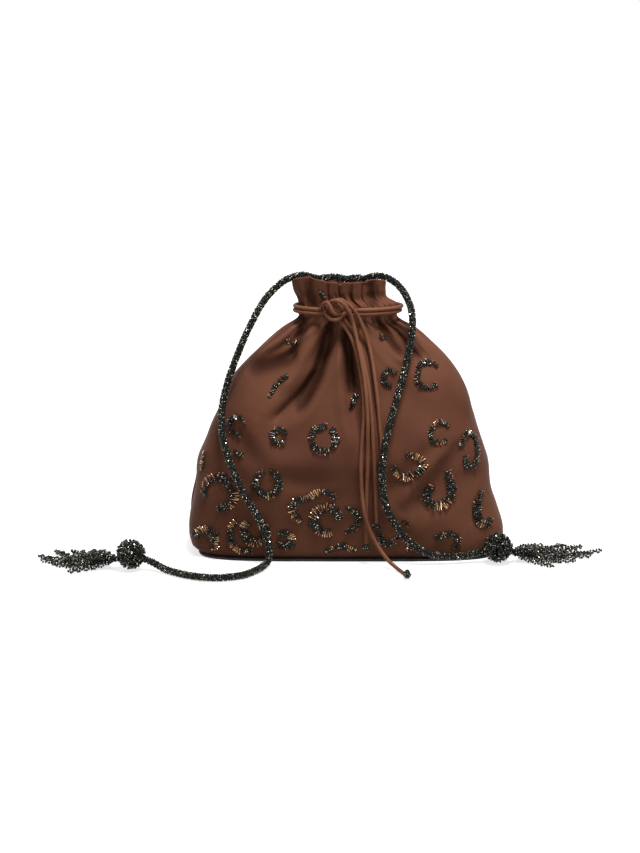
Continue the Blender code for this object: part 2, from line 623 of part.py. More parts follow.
def build_drawcord(material):
    cord_object("drawcord_upper_turn", neck_loop(UPPER_TURN_HEIGHT), DRAWCORD, material)
    cord_object("drawcord_lower_turn", neck_loop(UPPER_TURN_HEIGHT - DRAWCORD - GAP), DRAWCORD, material)


def build_knot(material):
    """The drawcord's knot: a rounded core with the cord's own strands wrapped over it."""
    centre = Vector((KNOT_X, -knot_depth(), UPPER_TURN_HEIGHT + KNOT_RISE))
    core = ball_object("drawcord_knot", centre, 2.0, material, segments=20)
    core.data.transform(Matrix.Diagonal((KNOT_WIDTH / 2 - DRAWCORD / 2, KNOT_THICKNESS / 2,
                                         KNOT_HEIGHT / 2 - DRAWCORD / 2, 1)))
    strands = []
    for name, route in KNOT_STRANDS:
        places = [centre + Vector((across * KNOT_WIDTH, -out * KNOT_THICKNESS, up * KNOT_HEIGHT))
                  for across, out, up in route]
        points = smooth_route(places, DRAWCORD)
        strands.append(add_object(name, tube_mesh(name, points, DRAWCORD / 2), material))
    join_to(core, strands)
    return core


def knot_depth():
    """How far in front of the middle the knot's core sits: against the neck's front."""
    return NECK_DEPTH / 2 + GAP + KNOT_THICKNESS / 2


def build_tails(cord, bead):
    for number, (route, ball) in enumerate(TAIL_ROUTES, start=1):
        centre = (ball[0] * MM, ball[1] * MM, max(ball[2] * MM, TAIL_BALL / 2 + GAP))
        points = smooth_route(scaled(route), 3 * DRAWCORD)
        points = meet_ball([tuple(p) for p in points], centre, TAIL_BALL / 2 + GAP)
        cord_object(f"drawcord_tail_{number}", points, DRAWCORD, cord)
        ball_object(f"tail_ball_{number}", centre, TAIL_BALL, bead, segments=10)


def strap_ball_centre(place):
    return (place[0] * MM, place[1] * MM, STRAP_BALL / 2 + GAP)


def build_strap(bead):
    left = strap_ball_centre(LEFT_STRAP_BALL)
    right = strap_ball_centre(RIGHT_STRAP_BALL)
    points = [tuple(p) for p in smooth_route(scaled(STRAP_ROUTE), 1.5 * STRAP)]
    reach = STRAP_BALL / 2 + GAP
    points = meet_ball(points[::-1], left, reach)[::-1]
    points = meet_ball(points, right, reach)
    cord_object("strap_rope", points, STRAP, bead)
    ball_object("strap_ball_left", left, STRAP_BALL, bead)
    ball_object("strap_ball_right", right, STRAP_BALL, bead)


def build_fringe(name, ball, lean, ends, material):
    """Bead strands that spread over the floor from a small cap against the strap's ball."""
    cap = Vector(ball) + Vector(lean).normalized() * (STRAP_BALL / 2 + GAP + FRINGE_CAP / 2)
    carrier = ball_object(name, cap, FRINGE_CAP, material)
    floor = FRINGE_STRAND / 2 + GAP
    strands = []
    for number, (mid, end) in enumerate(ends, start=1):
        middle = Vector((mid[0] * MM, mid[1] * MM, floor))
        tip = Vector((end[0] * MM, end[1] * MM, floor))
        landing = cap.lerp(middle, LANDING_SHARE)
        landing.z = floor + LANDING_LIFT * (cap.z - floor)
        points = smooth_route([cap, landing, middle, tip], 5 * FRINGE_STRAND)
        points[:, 2] = np.maximum(points[:, 2], floor)
        strand_name = f"{name}_strand_{number}"
        strands.append(add_object(strand_name, tube_mesh(strand_name, points, FRINGE_STRAND / 2), material))
    join_to(carrier, strands)
    return carrier


def build_keeper(name, across, material):
    """A thread loop that holds the strap in the mouth."""
    centre = strap_place(across * MM)
    reach = STRAP / 2 + 2 * GAP + KEEPER_THREAD / 2
    points = []
    faces = []
    for turn in range(KEEPER_TURNS):
        angle = 2 * pi * turn / KEEPER_TURNS
        outward = Vector((0, cos(angle), sin(angle)))
        following = (turn + 1) % KEEPER_TURNS
        for side in range(CORD_SIDES):
            lean = 2 * pi * side / CORD_SIDES
            away = outward * (reach + KEEPER_THREAD / 2 * cos(lean))
            points.append(centre + away + Vector((KEEPER_THREAD / 2 * sin(lean), 0, 0)))
            beside = (side + 1) % CORD_SIDES
            faces.append((turn * CORD_SIDES + side, turn * CORD_SIDES + beside,
                          following * CORD_SIDES + beside, following * CORD_SIDES + side))
    return add_object(name, mesh_from(name, points, faces), material)


def strap_place(across):
    """The point of the strap's line in the mouth, behind the bag's middle, at a place across."""
    route = smooth_route(scaled(STRAP_ROUTE), STRAP / 8)
    mouth = route[route[:, 1] > 0]
    return Vector(mouth[np.argmin(np.abs(mouth[:, 0] - across))])


# Bead spots

def spot_path(across, height, radius, start, sweep):
    """Points of an open ring of beads, turning anticlockwise seen from the front."""
    count = max(3, round(abs(radians(sweep)) * radius / (SPOT_STEP / MM)))
    path = []
    for k in range(count + 1):
        angle = radians(start + sweep * k / count)
        path.append((across * BAG_WIDTH / 2 + radius * MM * cos(angle),
                     height * BODY_HEIGHT + radius * MM * sin(angle)))
    return path


def trail_path(places):
    """Points of a free line of beads through places given as shares of the bag."""
    points = [(across * BAG_WIDTH / 2, height * BODY_HEIGHT) for across, height in places]
    return [tuple(p) for p in smooth_route(points, SPOT_STEP)]


def on_cloth(tree, x, z, facing):
    """The cloth's surface seen from the front (facing -1) or the back (facing 1): point and normal."""
    far = Vector((x, facing * BAG_DEPTH, z))
    place, normal, _, _ = tree.ray_cast(far, Vector((0, -facing, 0)))
    if place is None:
        place, normal, _, _ = tree.find_nearest(Vector((x, facing * BAG_DEPTH / 4, z)))
    return place, normal


def bead_ridge(name, tree, path, length, facing, material):
    """A low ridge of sewn beads that follows the cloth along a path."""
    path = [Vector(p) for p in path]
    rings = []
    for k, point in enumerate(path):
        ahead = (path[min(k + 1, len(path) - 1)] - path[max(k - 1, 0)]).normalized()
        across = Vector((-ahead.y, ahead.x)) * length / 2
        ring = []
        for share, lift in RIDGE_SECTION:
            side = point + across * share
            place, normal = on_cloth(tree, side.x, side.y, facing)
            ring.append(place + normal * (BEAD_GAP + lift * BEAD_HEIGHT))
        rings.append(np.array(ring))
    return add_object(name, shell_mesh(name, rings, []), material)


def build_spots(shell, material):
    graph = bpy.context.evaluated_depsgraph_get()
    tree = BVHTree.FromObject(shell, graph)
    for number, (across, height, radius, start, sweep, length) in enumerate(FRONT_SPOTS, start=1):
        path = spot_path(across, height, radius, start, sweep)
        bead_ridge(f"bead_spot_{number:02d}", tree, path, length * MM, -1, material)
    for number, (length, places) in enumerate(FRONT_TRAILS, start=1):
        bead_ridge(f"bead_trail_{number:02d}", tree, trail_path(places), length * MM, -1, material)
    for number, (across, height, radius, start, sweep, length) in enumerate(BACK_SPOTS, start=1):
        path = spot_path(across, height, radius, start, sweep)
        bead_ridge(f"back_spot_{number:02d}", tree, path, length * MM, 1, material)


def main():
    clear_scene()
    satin = make_material("satin_brown", SATIN, roughness=0.38)
    pink = make_material("lining_pink", LINING, roughness=0.6)
    cord = make_material("cord_brown", CORD_BROWN, roughness=0.5)
    bead = make_material("bead_black", BEAD_BLACK, roughness=0.12)
    black_cloth = make_material("base_black", BASE_BLACK, roughness=0.7)
    thread = make_material("thread_pale", THREAD, roughness=0.6)
    shell = build_outer_shell(satin)
    build_lining(pink)
    build_base_panel(black_cloth)
    build_drawcord(cord)
    build_knot(cord)
    build_tails(cord, bead)
    build_strap(bead)
    build_fringe("strap_fringe_left", strap_ball_centre(LEFT_STRAP_BALL), LEFT_FRINGE_LEAN,
                 LEFT_FRINGE, bead)
    build_fringe("strap_fringe_right", strap_ball_centre(RIGHT_STRAP_BALL), RIGHT_FRINGE_LEAN,
                 RIGHT_FRINGE, bead)
    build_keeper("strap_keeper_left", LEFT_KEEPER_X, thread)
    build_keeper("strap_keeper_right", RIGHT_KEEPER_X, thread)
    build_spots(shell, bead)


if __name__ == "__main__":
    main()
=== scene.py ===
"""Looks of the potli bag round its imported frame: satin, lining, cords, bead work, light and camera.

Metres, +Z up. The bag stands on the floor with its front towards -Y. The cloth's outline, folds and
cord routes repeat those of the solids, and finer folds, single beads and braid are added here.
"""

from math import cos, pi, radians, sin

import bpy
import numpy as np
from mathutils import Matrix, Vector
from mathutils.bvhtree import BVHTree


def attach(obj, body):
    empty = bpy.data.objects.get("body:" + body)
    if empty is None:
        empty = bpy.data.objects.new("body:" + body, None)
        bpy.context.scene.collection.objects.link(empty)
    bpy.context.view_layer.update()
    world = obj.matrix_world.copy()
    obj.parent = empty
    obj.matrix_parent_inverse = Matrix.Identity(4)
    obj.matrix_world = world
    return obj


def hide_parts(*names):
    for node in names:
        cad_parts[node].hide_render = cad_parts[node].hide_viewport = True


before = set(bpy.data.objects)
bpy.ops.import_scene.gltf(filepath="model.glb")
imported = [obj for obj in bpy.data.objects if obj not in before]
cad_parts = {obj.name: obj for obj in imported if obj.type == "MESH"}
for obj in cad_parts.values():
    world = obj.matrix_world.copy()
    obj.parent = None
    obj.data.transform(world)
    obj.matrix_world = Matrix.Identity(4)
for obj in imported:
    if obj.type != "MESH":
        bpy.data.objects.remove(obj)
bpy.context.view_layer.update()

MM = 0.001

# Sizes of the bag, as in the solids
BAG_WIDTH = 252 * MM
BAG_DEPTH = 110 * MM
BODY_HEIGHT = 188 * MM
NECK_WIDTH = 80 * MM
NECK_DEPTH = 45 * MM
RUFFLE_HEIGHT = 28.5 * MM
RUFFLE_WIDTH = 73 * MM
RUFFLE_DEPTH = 37 * MM
CLOTH_WALL = 1.2 * MM
LINING_WALL = 0.7 * MM
BASE_PANEL_WALL = 2 * MM
DRAWCORD = 3 * MM
STRAP = 6 * MM
STRAP_BALL = 25 * MM
TAIL_BALL = 7.8 * MM
GAP = 0.3 * MM
CLOTH_FOOT = BASE_PANEL_WALL + GAP

# Photograph's view
VIEW_AIM = Vector((-0.0216, 0, 0.0983))
VIEW_DISTANCE = 1.6
VIEW_ELEVATION = radians(12)
VIEW_LENS = 84.4

# Floor: how far from the bag its own white starts and is full, and its level at the bag
FLOOR_NEAR = 0.30
FLOOR_FAR = 1.10
FLOOR_LIFT = 0.72
WORLD_LEVEL = 0.09
# Lamps: name, place, size across and power
LAMP_AIM = (0, 0, 0.10)
LAMPS = (
    ("top", (0.20, -0.38, 1.55), 0.5, 34),
    ("front", (0.45, -1.35, 0.80), 0.5, 0.6),
    ("back", (-0.4, 1.3, 1.2), 0.7, 9),
)
# Small lamps that put sharp points of light on the beads
GLINT_LAMPS = ((-0.95, -0.8, 0.45), (-0.6, -1.0, 1.1), (-0.2, -1.3, 0.7), (0.2, -1.3, 1.0), (0.55, -1.2, 0.5),
               (0.8, -0.8, 0.9), (1.1, -0.4, 0.5), (-0.3, 0.2, 1.5), (0.4, 0.1, 1.5))
GLINT_SIZE = 0.10
GLINT_POWER = 0.80

# Fineness of the cloth
FRONT_COLUMNS = 300
BACK_COLUMNS = 130
BODY_ROWS = 112
RUFFLE_ROWS = 36
INNER_ROWS = 40
OUTLINE_STEPS = 60
# Under the neck the unseen inner face keeps further off the folds of the outer one
INNER_EASE = 4 * MM
INNER_EASE_TOP = 172 * MM

# Cloth sections, floor to rim: height, width and depth as shares, squareness, sideways lean
BODY_SECTIONS = (
    (0.000, 0.945, 0.890, 4.6, 0.000),
    (0.012, 0.972, 0.905, 4.4, 0.000),
    (0.045, 0.994, 0.925, 4.0, -0.002),
    (0.096, 1.000, 0.940, 3.6, -0.004),
    (0.176, 0.980, 0.960, 3.3, -0.018),
    (0.335, 0.922, 0.985, 2.8, -0.028),
    (0.415, 0.900, 1.000, 2.7, -0.028),
    (0.495, 0.866, 0.965, 2.6, -0.016),
    (0.649, 0.778, 0.830, 2.4, -0.007),
    (0.777, 0.681, 0.665, 2.2, 0.000),
    (0.883, 0.537, 0.520, 2.1, 0.008),
    (0.950, 0.425, 0.445, 2.0, 0.010),
)
NECK_SECTIONS = (
    (0.00, 1.000, 1.000, 2.0, 0.000),
    (0.12, 1.000, 1.000, 2.0, 0.000),
    (0.38, 0.991, 0.984, 2.0, 0.000),
)
RUFFLE_SECTIONS = (
    (0.50, 1.00, 1.02, 2.2, -0.048),
    (0.75, 1.00, 0.98, 2.4, -0.085),
    (1.00, 1.02, 1.00, 2.4, -0.092),
)

# Folds that run down the cloth: height share and place across, then width and depth
FOLD_FADE = 0.3
SHOULDER_RISE = 0.4
SHOULDER_PLACE = 1.8
SHOULDER_SHARPNESS = 1.4
FRONT_FOLDS = (
    (((0.93, -0.27), (0.78, -0.34), (0.67, -0.43), (0.57, -0.54)), 9 * MM, 4.5 * MM),
    (((0.94, -0.01), (0.76, 0.04), (0.64, 0.06), (0.50, 0.11)), 5.2 * MM, 4.0 * MM),
    (((0.96, 0.33), (0.88, 0.42), (0.80, 0.52)), 4.5 * MM, 2.6 * MM),
    (((0.98, -0.62), (0.92, -0.72), (0.85, -0.84)), 4.0 * MM, 2.6 * MM),
    (((0.95, 0.62), (0.84, 0.70), (0.70, 0.74)), 7.0 * MM, 2.2 * MM),
    (((0.82, 0.50), (0.60, 0.40), (0.38, 0.32)), 14 * MM, 2.6 * MM),
    (((0.54, 0.84), (0.40, 0.58), (0.22, 0.32)), 9 * MM, -2.4 * MM),
    (((0.66, -0.72), (0.50, -0.62), (0.34, -0.50)), 13 * MM, -2.0 * MM),
    (((0.30, 0.02), (0.16, 0.10)), 16 * MM, 1.6 * MM),
)
BACK_FOLDS = (
    (((0.95, 0.40), (0.78, 0.52), (0.60, 0.64)), 8 * MM, 3.6 * MM),
    (((0.95, 0.05), (0.75, 0.02), (0.50, -0.04)), 6 * MM, 3.8 * MM),
    (((0.95, -0.36), (0.78, -0.48), (0.62, -0.58)), 7 * MM, 3.2 * MM),
    (((0.50, -0.70), (0.22, -0.36)), 14 * MM, -2.2 * MM),
)
# Pleats of the ruffle: place across at the cords and at the rim, then width and depth
PLEAT_START = 0.2
PLEAT_FADE = 0.35
FRONT_PLEATS = (
    (-0.36, -0.23, 0.9 * MM, 2.8 * MM),
    (-0.13, 0.02, 0.9 * MM, 2.8 * MM),
    (0.11, 0.28, 1.1 * MM, 3.2 * MM),
    (0.34, 0.53, 0.9 * MM, 2.6 * MM),
    (-0.74, -0.68, 3.4 * MM, 1.7 * MM),
    (0.66, 0.80, 3.0 * MM, 1.7 * MM),
)
BACK_PLEATS = 7
BACK_PLEAT_WIDTH = 1.3 * MM
BACK_PLEAT_DEPTH = 2.2 * MM
BACK_PLEAT_SPAN = 1.5
PLEAT_TOP_DIPS = (1.0 * MM, 2.4 * MM, 1.0 * MM, 1.0 * MM)
PLEAT_TOP_WIDTH = 0.045
# Rise and dip of the rim: place around (front 0 to 1, back 1 to 2), width, rise
RIM_WAVES = (
    (0.22, 0.15, 3.5 * MM),
    (0.82, 0.10, 1.5 * MM),
    (1.07, 0.10, -2.8 * MM),
    (1.93, 0.10, -2.3 * MM),
    (1.50, 0.25, -2.5 * MM),
)
GATHERS = 13
GATHER_DEPTH = 2.0 * MM
GATHER_START = 0.86
GATHER_RISE = 0.09
GATHER_END = 0.55
GATHER_FALL = 0.35
GATHER_DRIFT = 0.35
GATHER_DRIFT_WAVES = 2.5
SIDE_SEAM_FADE = 0.10
NECK_FADE = 0.06
CORD_SHARE = 0.40

# Fine gathers that start at the cords, each with its own place, width, depth and length
FINE_GATHERS = 84
FINE_WIDTH = (0.009, 0.017)
FINE_DEPTH = (0.5 * MM, 1.25 * MM)
FINE_END = (148 * MM, 183 * MM)
FINE_TOP = (204 * MM, 214 * MM)
FINE_DRIFT = 0.03
FINE_FADE_IN = 16 * MM
FINE_FADE_OUT = 7 * MM
# Slow unevenness of the hanging cloth: waves around and up, phase, depth
SLOW_WAVES = (
    (2.0, 3.1, 0.4, 0.9 * MM),
    (3.5, -2.2, 1.9, 0.7 * MM),
    (5.5, 4.6, 4.1, 0.45 * MM),
    (8.0, -6.0, 2.7, 0.3 * MM),
)
# Painted shade in deep valleys and at the foot: depth for full shade, share of the shade colour, height at the
# foot
PAINTED_SHADE_DEPTH = 5 * MM
PAINTED_SHADE_SHARE = 0.9
FOOT_PAINTED_SHADE = 5.5 * MM
# How far the cloth turns in above the base, and over what height
FOOT_TUCK = 2.4 * MM
FOOT_TUCK_HEIGHT = 4 * MM
# Sharp valleys (negative) and swells of the front: width and rise in mm, places across and up in mm
SOFT_FADE = 0.22
SOFT_FOLDS = (
    (4.8, -8.0, ((-11.0, 192.0), (-15.3, 176.6), (-19.3, 161.6), (-23.9, 147.0), (-32.5, 130.8), (-44.0, 114.0))),
    (3.0, -3.2, ((-22.0, 152.0), (-34.8, 136.2), (-46.5, 124.3), (-62.0, 109.0))),
    (6.0, 2.8, ((-20.0, 186.0), (-33.3, 165.0), (-40.3, 148.7), (-54.0, 131.0))),
    (3.8, -6.0, ((-36.0, 192.0), (-38.8, 172.9), (-41.9, 163.2), (-46.0, 154.0))),
    (7.0, -5.0, ((-36.0, 159.5), (-46.0, 157.0), (-60.0, 153.4), (-82.0, 145.5))),
    (4.2, -7.0, ((-1.4, 192.0), (0.2, 165.1), (1.8, 148.6), (4.3, 126.0))),
    (3.4, 2.2, ((13.4, 188.0), (23.7, 172.0), (31.5, 163.0), (45.0, 152.0))),
    (3.6, -5.2, ((20.0, 190.0), (31.0, 175.0), (37.0, 166.6), (47.0, 157.0))),
    (4.0, -4.6, ((31.0, 189.0), (42.0, 177.0), (49.0, 167.0), (61.0, 154.0))),
    (15.0, 3.4, ((-74.0, 126.0), (-71.0, 105.0), (-61.0, 91.0), (-45.0, 83.5), (-20.0, 80.0), (4.0, 84.0))),
    (8.0, -2.0, ((-84.0, 112.0), (-78.0, 90.0), (-62.0, 74.0), (-36.0, 66.0), (-4.0, 66.0))),
    (7.0, 2.6, ((38.0, 44.0), (53.0, 64.0), (66.0, 78.0), (82.0, 96.0))),
    (6.0, -2.2, ((50.0, 42.0), (62.0, 66.0), (76.0, 84.0), (90.0, 100.0))),
    (3.6, -3.8, ((-29.0, 194.0), (-30.5, 205.0), (-33.0, 222.0))),
    (4.6, -4.2, ((22.0, 194.0), (20.0, 203.0), (17.0, 220.0))),
)

LINING_RINGS = 44
LINING_RUFFLE_RINGS = 24
LINING_TOP = 0.88
LINING_TAPER = 0.82
BODY_SLACK = 7 * MM
RUFFLE_SLACK = 2.5 * MM
LINING_WRINKLE = 0.7 * MM
LINING_PEEK = (0.512, 0.016, 2.6 * MM)
PANEL_EDGE = 0.6 * MM

# Drawcord: two turns round the neck, a knot left of the middle and four tails with bead balls
UPPER_TURN_HEIGHT = BODY_HEIGHT + 8 * MM
LOWER_TURN_HEIGHT = UPPER_TURN_HEIGHT - DRAWCORD - GAP
LOOP_SAMPLES = 400
LOOP_STRIDE = 8
KNOT_X = -9.5 * MM
KNOT_WIDTH = 19 * MM
CORD_SIDES = 14
CORD_STEP = 1.1 * MM
# Strands of the knot in mm: where the turns' ends cross, wrap and pass under the hanging tails
KNOT_STRANDS = (
    ((-22.5, -20.9, 196.0), (-20.8, -22.6, 197.0), (-19.8, -26.2, 199.6), (-18.3, -29.8, 202.0),
     (-16.0, -32.6, 203.2), (-14.2, -34.0, 201.0), (-13.0, -34.2, 198.0), (-10.8, -33.2, 194.9),
     (-8.0, -30.8, 193.4), (-5.0, -27.2, 192.6), (0.3, -24.6, 192.7), (4.5, -24.3, 192.7)),
    ((-22.5, -20.9, 192.7), (-20.4, -23.2, 193.4), (-17.8, -28.0, 194.4), (-16.3, -31.0, 192.8),
     (-13.7, -32.4, 190.5), (-9.9, -32.4, 189.6), (-6.3, -31.2, 190.6), (-3.4, -29.6, 193.4),
     (-0.6, -27.0, 195.6), (4.5, -24.4, 196.0)),
    ((-11.5, -25.0, 197.0), (-13.4, -27.0, 199.6), (-14.6, -28.8, 201.8), (-14.0, -30.0, 203.0),
     (-12.0, -32.0, 204.3)),
    ((-9.6, -25.6, 198.0), (-9.9, -27.8, 201.8), (-8.5, -29.2, 204.4), (-5.0, -29.8, 204.8)),
    ((-8.0, -26.0, 192.0), (-7.0, -27.6, 189.6), (-5.0, -28.0, 187.0), (-2.6, -28.6, 183.6)),
    ((-4.2, -25.4, 191.8), (-2.8, -27.0, 189.4), (-1.2, -27.5, 187.0), (1.0, -27.5, 183.6)),
)
KNOT_CORE = Vector((-10.5, -26.0, 194.0)) * MM
KNOT_CORE_SIZE = Vector((13, 7, 11)) * MM
# Each tail in mm: its route down the front, and the middle of its ball
TAIL_ROUTES = (
    (((-5.0, -28.0, 187.0), (0.9, -29.8, 178.4), (5.1, -33.0, 169.4), (8.0, -36.2, 158.4),
      (10.2, -41.4, 147.0), (12.0, -47.3, 133.2), (12.4, -51.2, 120.5), (11.7, -53.0, 106.8),
      (10.5, -56.0, 91.5), (10.1, -58.0, 74.5), (11.1, -59.2, 56.0), (13.5, -61.4, 39.5),
      (18.4, -61.6, 26.0), (24.4, -63.4, 14.9), (32.0, -69.4, 6.2), (39.0, -78.0, 2.1),
      (42.5, -88.0, 1.9)), (44.7, -98.2, 4.2)),
    (((-14.0, -30.0, 203.0), (-12.0, -32.0, 204.3), (-8.3, -33.8, 204.8), (-3.9, -34.4, 202.8),
      (0.5, -33.6, 197.0), (4.2, -31.5, 186.0), (7.3, -35.6, 173.4), (10.1, -40.8, 161.2),
      (12.5, -46.2, 147.4), (14.2, -51.9, 132.0), (15.2, -55.2, 115.5), (15.3, -56.4, 95.8),
      (15.2, -57.4, 76.2), (14.5, -57.2, 55.9), (14.4, -57.0, 35.5), (14.4, -56.8, 21.0)),
     (14.4, -57.6, 14.1)),
    (((-1.2, -27.5, 187.0), (3.6, -27.4, 179.8), (8.1, -31.0, 171.3), (11.6, -36.4, 160.1),
      (14.6, -42.0, 146.5), (16.9, -47.8, 131.1), (18.4, -52.8, 114.8), (19.6, -56.2, 95.7),
      (20.7, -56.8, 76.0), (21.6, -56.9, 55.6), (22.2, -57.4, 39.4)), (22.4, -58.2, 30.6)),
    (((-8.5, -29.2, 204.6), (-5.0, -29.8, 204.8), (-1.5, -30.0, 202.5), (3.9, -29.8, 197.8),
      (8.8, -27.8, 189.9), (13.0, -28.6, 180.0), (16.6, -31.6, 168.7), (19.2, -36.2, 156.2),
      (21.4, -42.0, 141.6), (23.3, -47.5, 125.4), (24.8, -51.8, 108.9), (26.0, -54.8, 95.2),
      (26.3, -56.4, 86.0)), (26.4, -57.8, 77.5)),
)

# Strap: one beaded rope that lies in the mouth and hangs down both sides of the front
KEEPER_X = (-20.0, 9.3)
KEEPER_PLY = 0.42 * MM
KEEPER_TWISTS = 9
STRAP_BALL_PLACES = {"left": (-168.0, -72.0), "right": (117.8, -53.2)}
STRAP_SPLIT_X = -5.8 * MM
STRAP_ROUTE = (
    (-152.0, -73.6, 7.0), (-140.1, -82.4, 3.4), (-127.8, -94.1, 3.3), (-115.1, -101.7, 3.3),
    (-102.8, -104.9, 3.3), (-90.7, -103.0, 3.3), (-80.3, -97.6, 3.3), (-71.5, -85.8, 3.3),
    (-65.1, -71.6, 3.4), (-61.6, -62.0, 6.0), (-61.0, -57.6, 13.0), (-63.2, -56.9, 21.4),
    (-67.9, -56.6, 33.9), (-74.0, -55.8, 45.0), (-80.3, -54.6, 56.2), (-86.4, -52.4, 67.6),
    (-91.5, -49.6, 79.6), (-95.6, -44.6, 91.4), (-98.2, -37.0, 103.1), (-98.9, -30.0, 113.6),
    (-97.8, -24.6, 123.7), (-95.3, -22.9, 134.3), (-92.3, -21.9, 144.1), (-88.3, -20.9, 155.1),
    (-83.9, -19.2, 166.0), (-79.3, -16.7, 176.5), (-74.1, -13.7, 186.7), (-69.4, -10.4, 195.2),
    (-64.2, -6.2, 202.6), (-57.9, -1.6, 209.1), (-51.0, 1.8, 214.6), (-43.8, 5.0, 218.0),
    (-35.5, 6.6, 219.4), (-29.6, 7.2, 218.2), (-23.2, 8.1, 216.4), (-17.6, 8.1, 217.0),
    (-11.3, 8.1, 217.8), (-5.8, 8.1, 217.0), (-0.2, 8.1, 215.8), (5.3, 7.9, 217.0),
    (9.3, 7.6, 216.8), (13.2, 7.3, 216.2), (18.8, 6.9, 218.0), (24.5, 6.5, 218.9),
    (30.8, 5.2, 217.6), (37.0, 2.8, 214.4), (42.2, -0.6, 209.9), (46.4, -6.0, 203.8),
    (49.4, -11.8, 196.8), (50.8, -16.0, 188.8), (50.6, -20.6, 179.4), (49.0, -25.8, 170.0),
    (46.2, -32.8, 158.2), (43.0, -38.2, 146.1), (39.0, -44.0, 133.4), (35.2, -49.4, 120.8),
    (31.4, -57.4, 108.8), (28.2, -63.6, 95.6), (26.6, -67.2, 82.2), (26.5, -66.8, 75.0),
    (26.6, -63.6, 66.6), (28.5, -60.0, 52.8), (32.8, -60.6, 40.3), (40.0, -60.2, 28.8),
    (48.1, -59.0, 18.9), (56.7, -58.2, 12.1), (68.0, -57.2, 7.8), (80.7, -55.8, 6.1),
    (93.4, -53.4, 6.5), (103.5, -51.6, 8.5),
)
# Fringe strands in mm on the floor: a middle place and the tip of each
LANDING_SHARE = 0.55
LANDING_LIFT = 0.25
FRINGE_LEANS = {"left": (-0.92, 0.14, -0.36), "right": (0.90, 0.22, -0.36)}
FRINGES = {
    "left": (
        ((-196.0, -45.0), (-193.9, -25.5)),
        ((-203.0, -50.0), (-210.5, -27.0)),
        ((-209.0, -54.0), (-231.5, -28.5)),
        ((-214.0, -59.5), (-242.5, -41.0)),
        ((-211.0, -65.5), (-238.5, -53.5)),
        ((-208.0, -71.5), (-227.5, -66.0)),
        ((-202.0, -77.5), (-213.5, -83.5)),
    ),
    "right": (
        ((147.0, -31.5), (151.5, -9.0)),
        ((154.0, -33.0), (170.5, -8.5)),
        ((160.0, -36.5), (187.5, -13.5)),
        ((163.0, -42.0), (201.0, -25.5)),
        ((160.0, -48.0), (190.5, -40.0)),
        ((155.0, -54.0), (176.5, -54.5)),
        ((148.0, -60.0), (158.5, -69.0)),
    ),
}

# Shorter strands heaped on those: share of their length, lift of the middle and of the tip in mm
HEAPED_STRANDS = ((0.45, 4.2, 3.5), (0.8, 5.0, 1.5), (0.6, 3.6, 4.0), (0.85, 4.6, 0.5), (0.5, 5.2, 3.2),
                  (0.7, 3.4, 1.8))

# Beads
SEED_BEAD = 2.0 * MM
ROPE_BEADS_AROUND = 8
ROPE_BEAD_LOWEST = SEED_BEAD * 0.56
ROPE_BEAD_RADIUS = 2.15 * MM
ROPE_PITCH = 1.75 * MM
ROPE_CORE = 1.9 * MM
ROPE_TINT = 0.16
KNOB_BEADS = 330
KNOB_BEAD = 2.3 * MM
TAIL_KNOB_BEADS = 60
TAIL_KNOB_BEAD = 1.6 * MM
STRAND_BEAD = 2.3 * MM
STRAND_PITCH = 1.9 * MM
STRAND_TWIST = 12 * MM
BUGLE_WIDTH = 1.4 * MM
BUGLE_PITCH = 1.55 * MM
BEAD_LIFT = 0.5 * MM
INNER_DARK = 0.55

# Bead spots: middle as shares of half the width and of the height, radius in mm, first angle, turn,
# bead length in mm, share of bronze beads
FRONT_SPOTS = (
    (-0.680, 0.566, 6.4, 25, 265, 4.8, 0.25),
    (-0.796, 0.286, 11.8, -94, 297, 8.2, 0.45),
    (-0.496, 0.341, 9.4, 105, 330, 6.4, 0.10),
    (-0.421, 0.536, 5.4, 15, 290, 5.2, 0.08),
    (-0.150, 0.530, 9.6, 75, 105, 5.8, 0.35),
    (-0.150, 0.530, 9.6, 200, 95, 6.2, 0.06),
    (-0.150, 0.530, 9.6, -42, 92, 5.8, 0.10),
    (-0.131, 0.185, 10.2, 5, 285, 8.2, 0.65),
    (-0.008, 0.186, 9.2, -95, 185, 5.2, 0.05),
    (-0.576, 0.136, 9.1, 130, 285, 7.4, 0.55),
    (-0.392, 0.100, 5.8, -150, 280, 6.8, 0.40),
    (0.262, 0.767, 5.8, 50, 225, 4.4, 0.10),
    (0.499, 0.772, 9.2, 40, 270, 5.0, 0.20),
    (0.567, 0.546, 7.6, 35, 275, 4.2, 0.30),
)
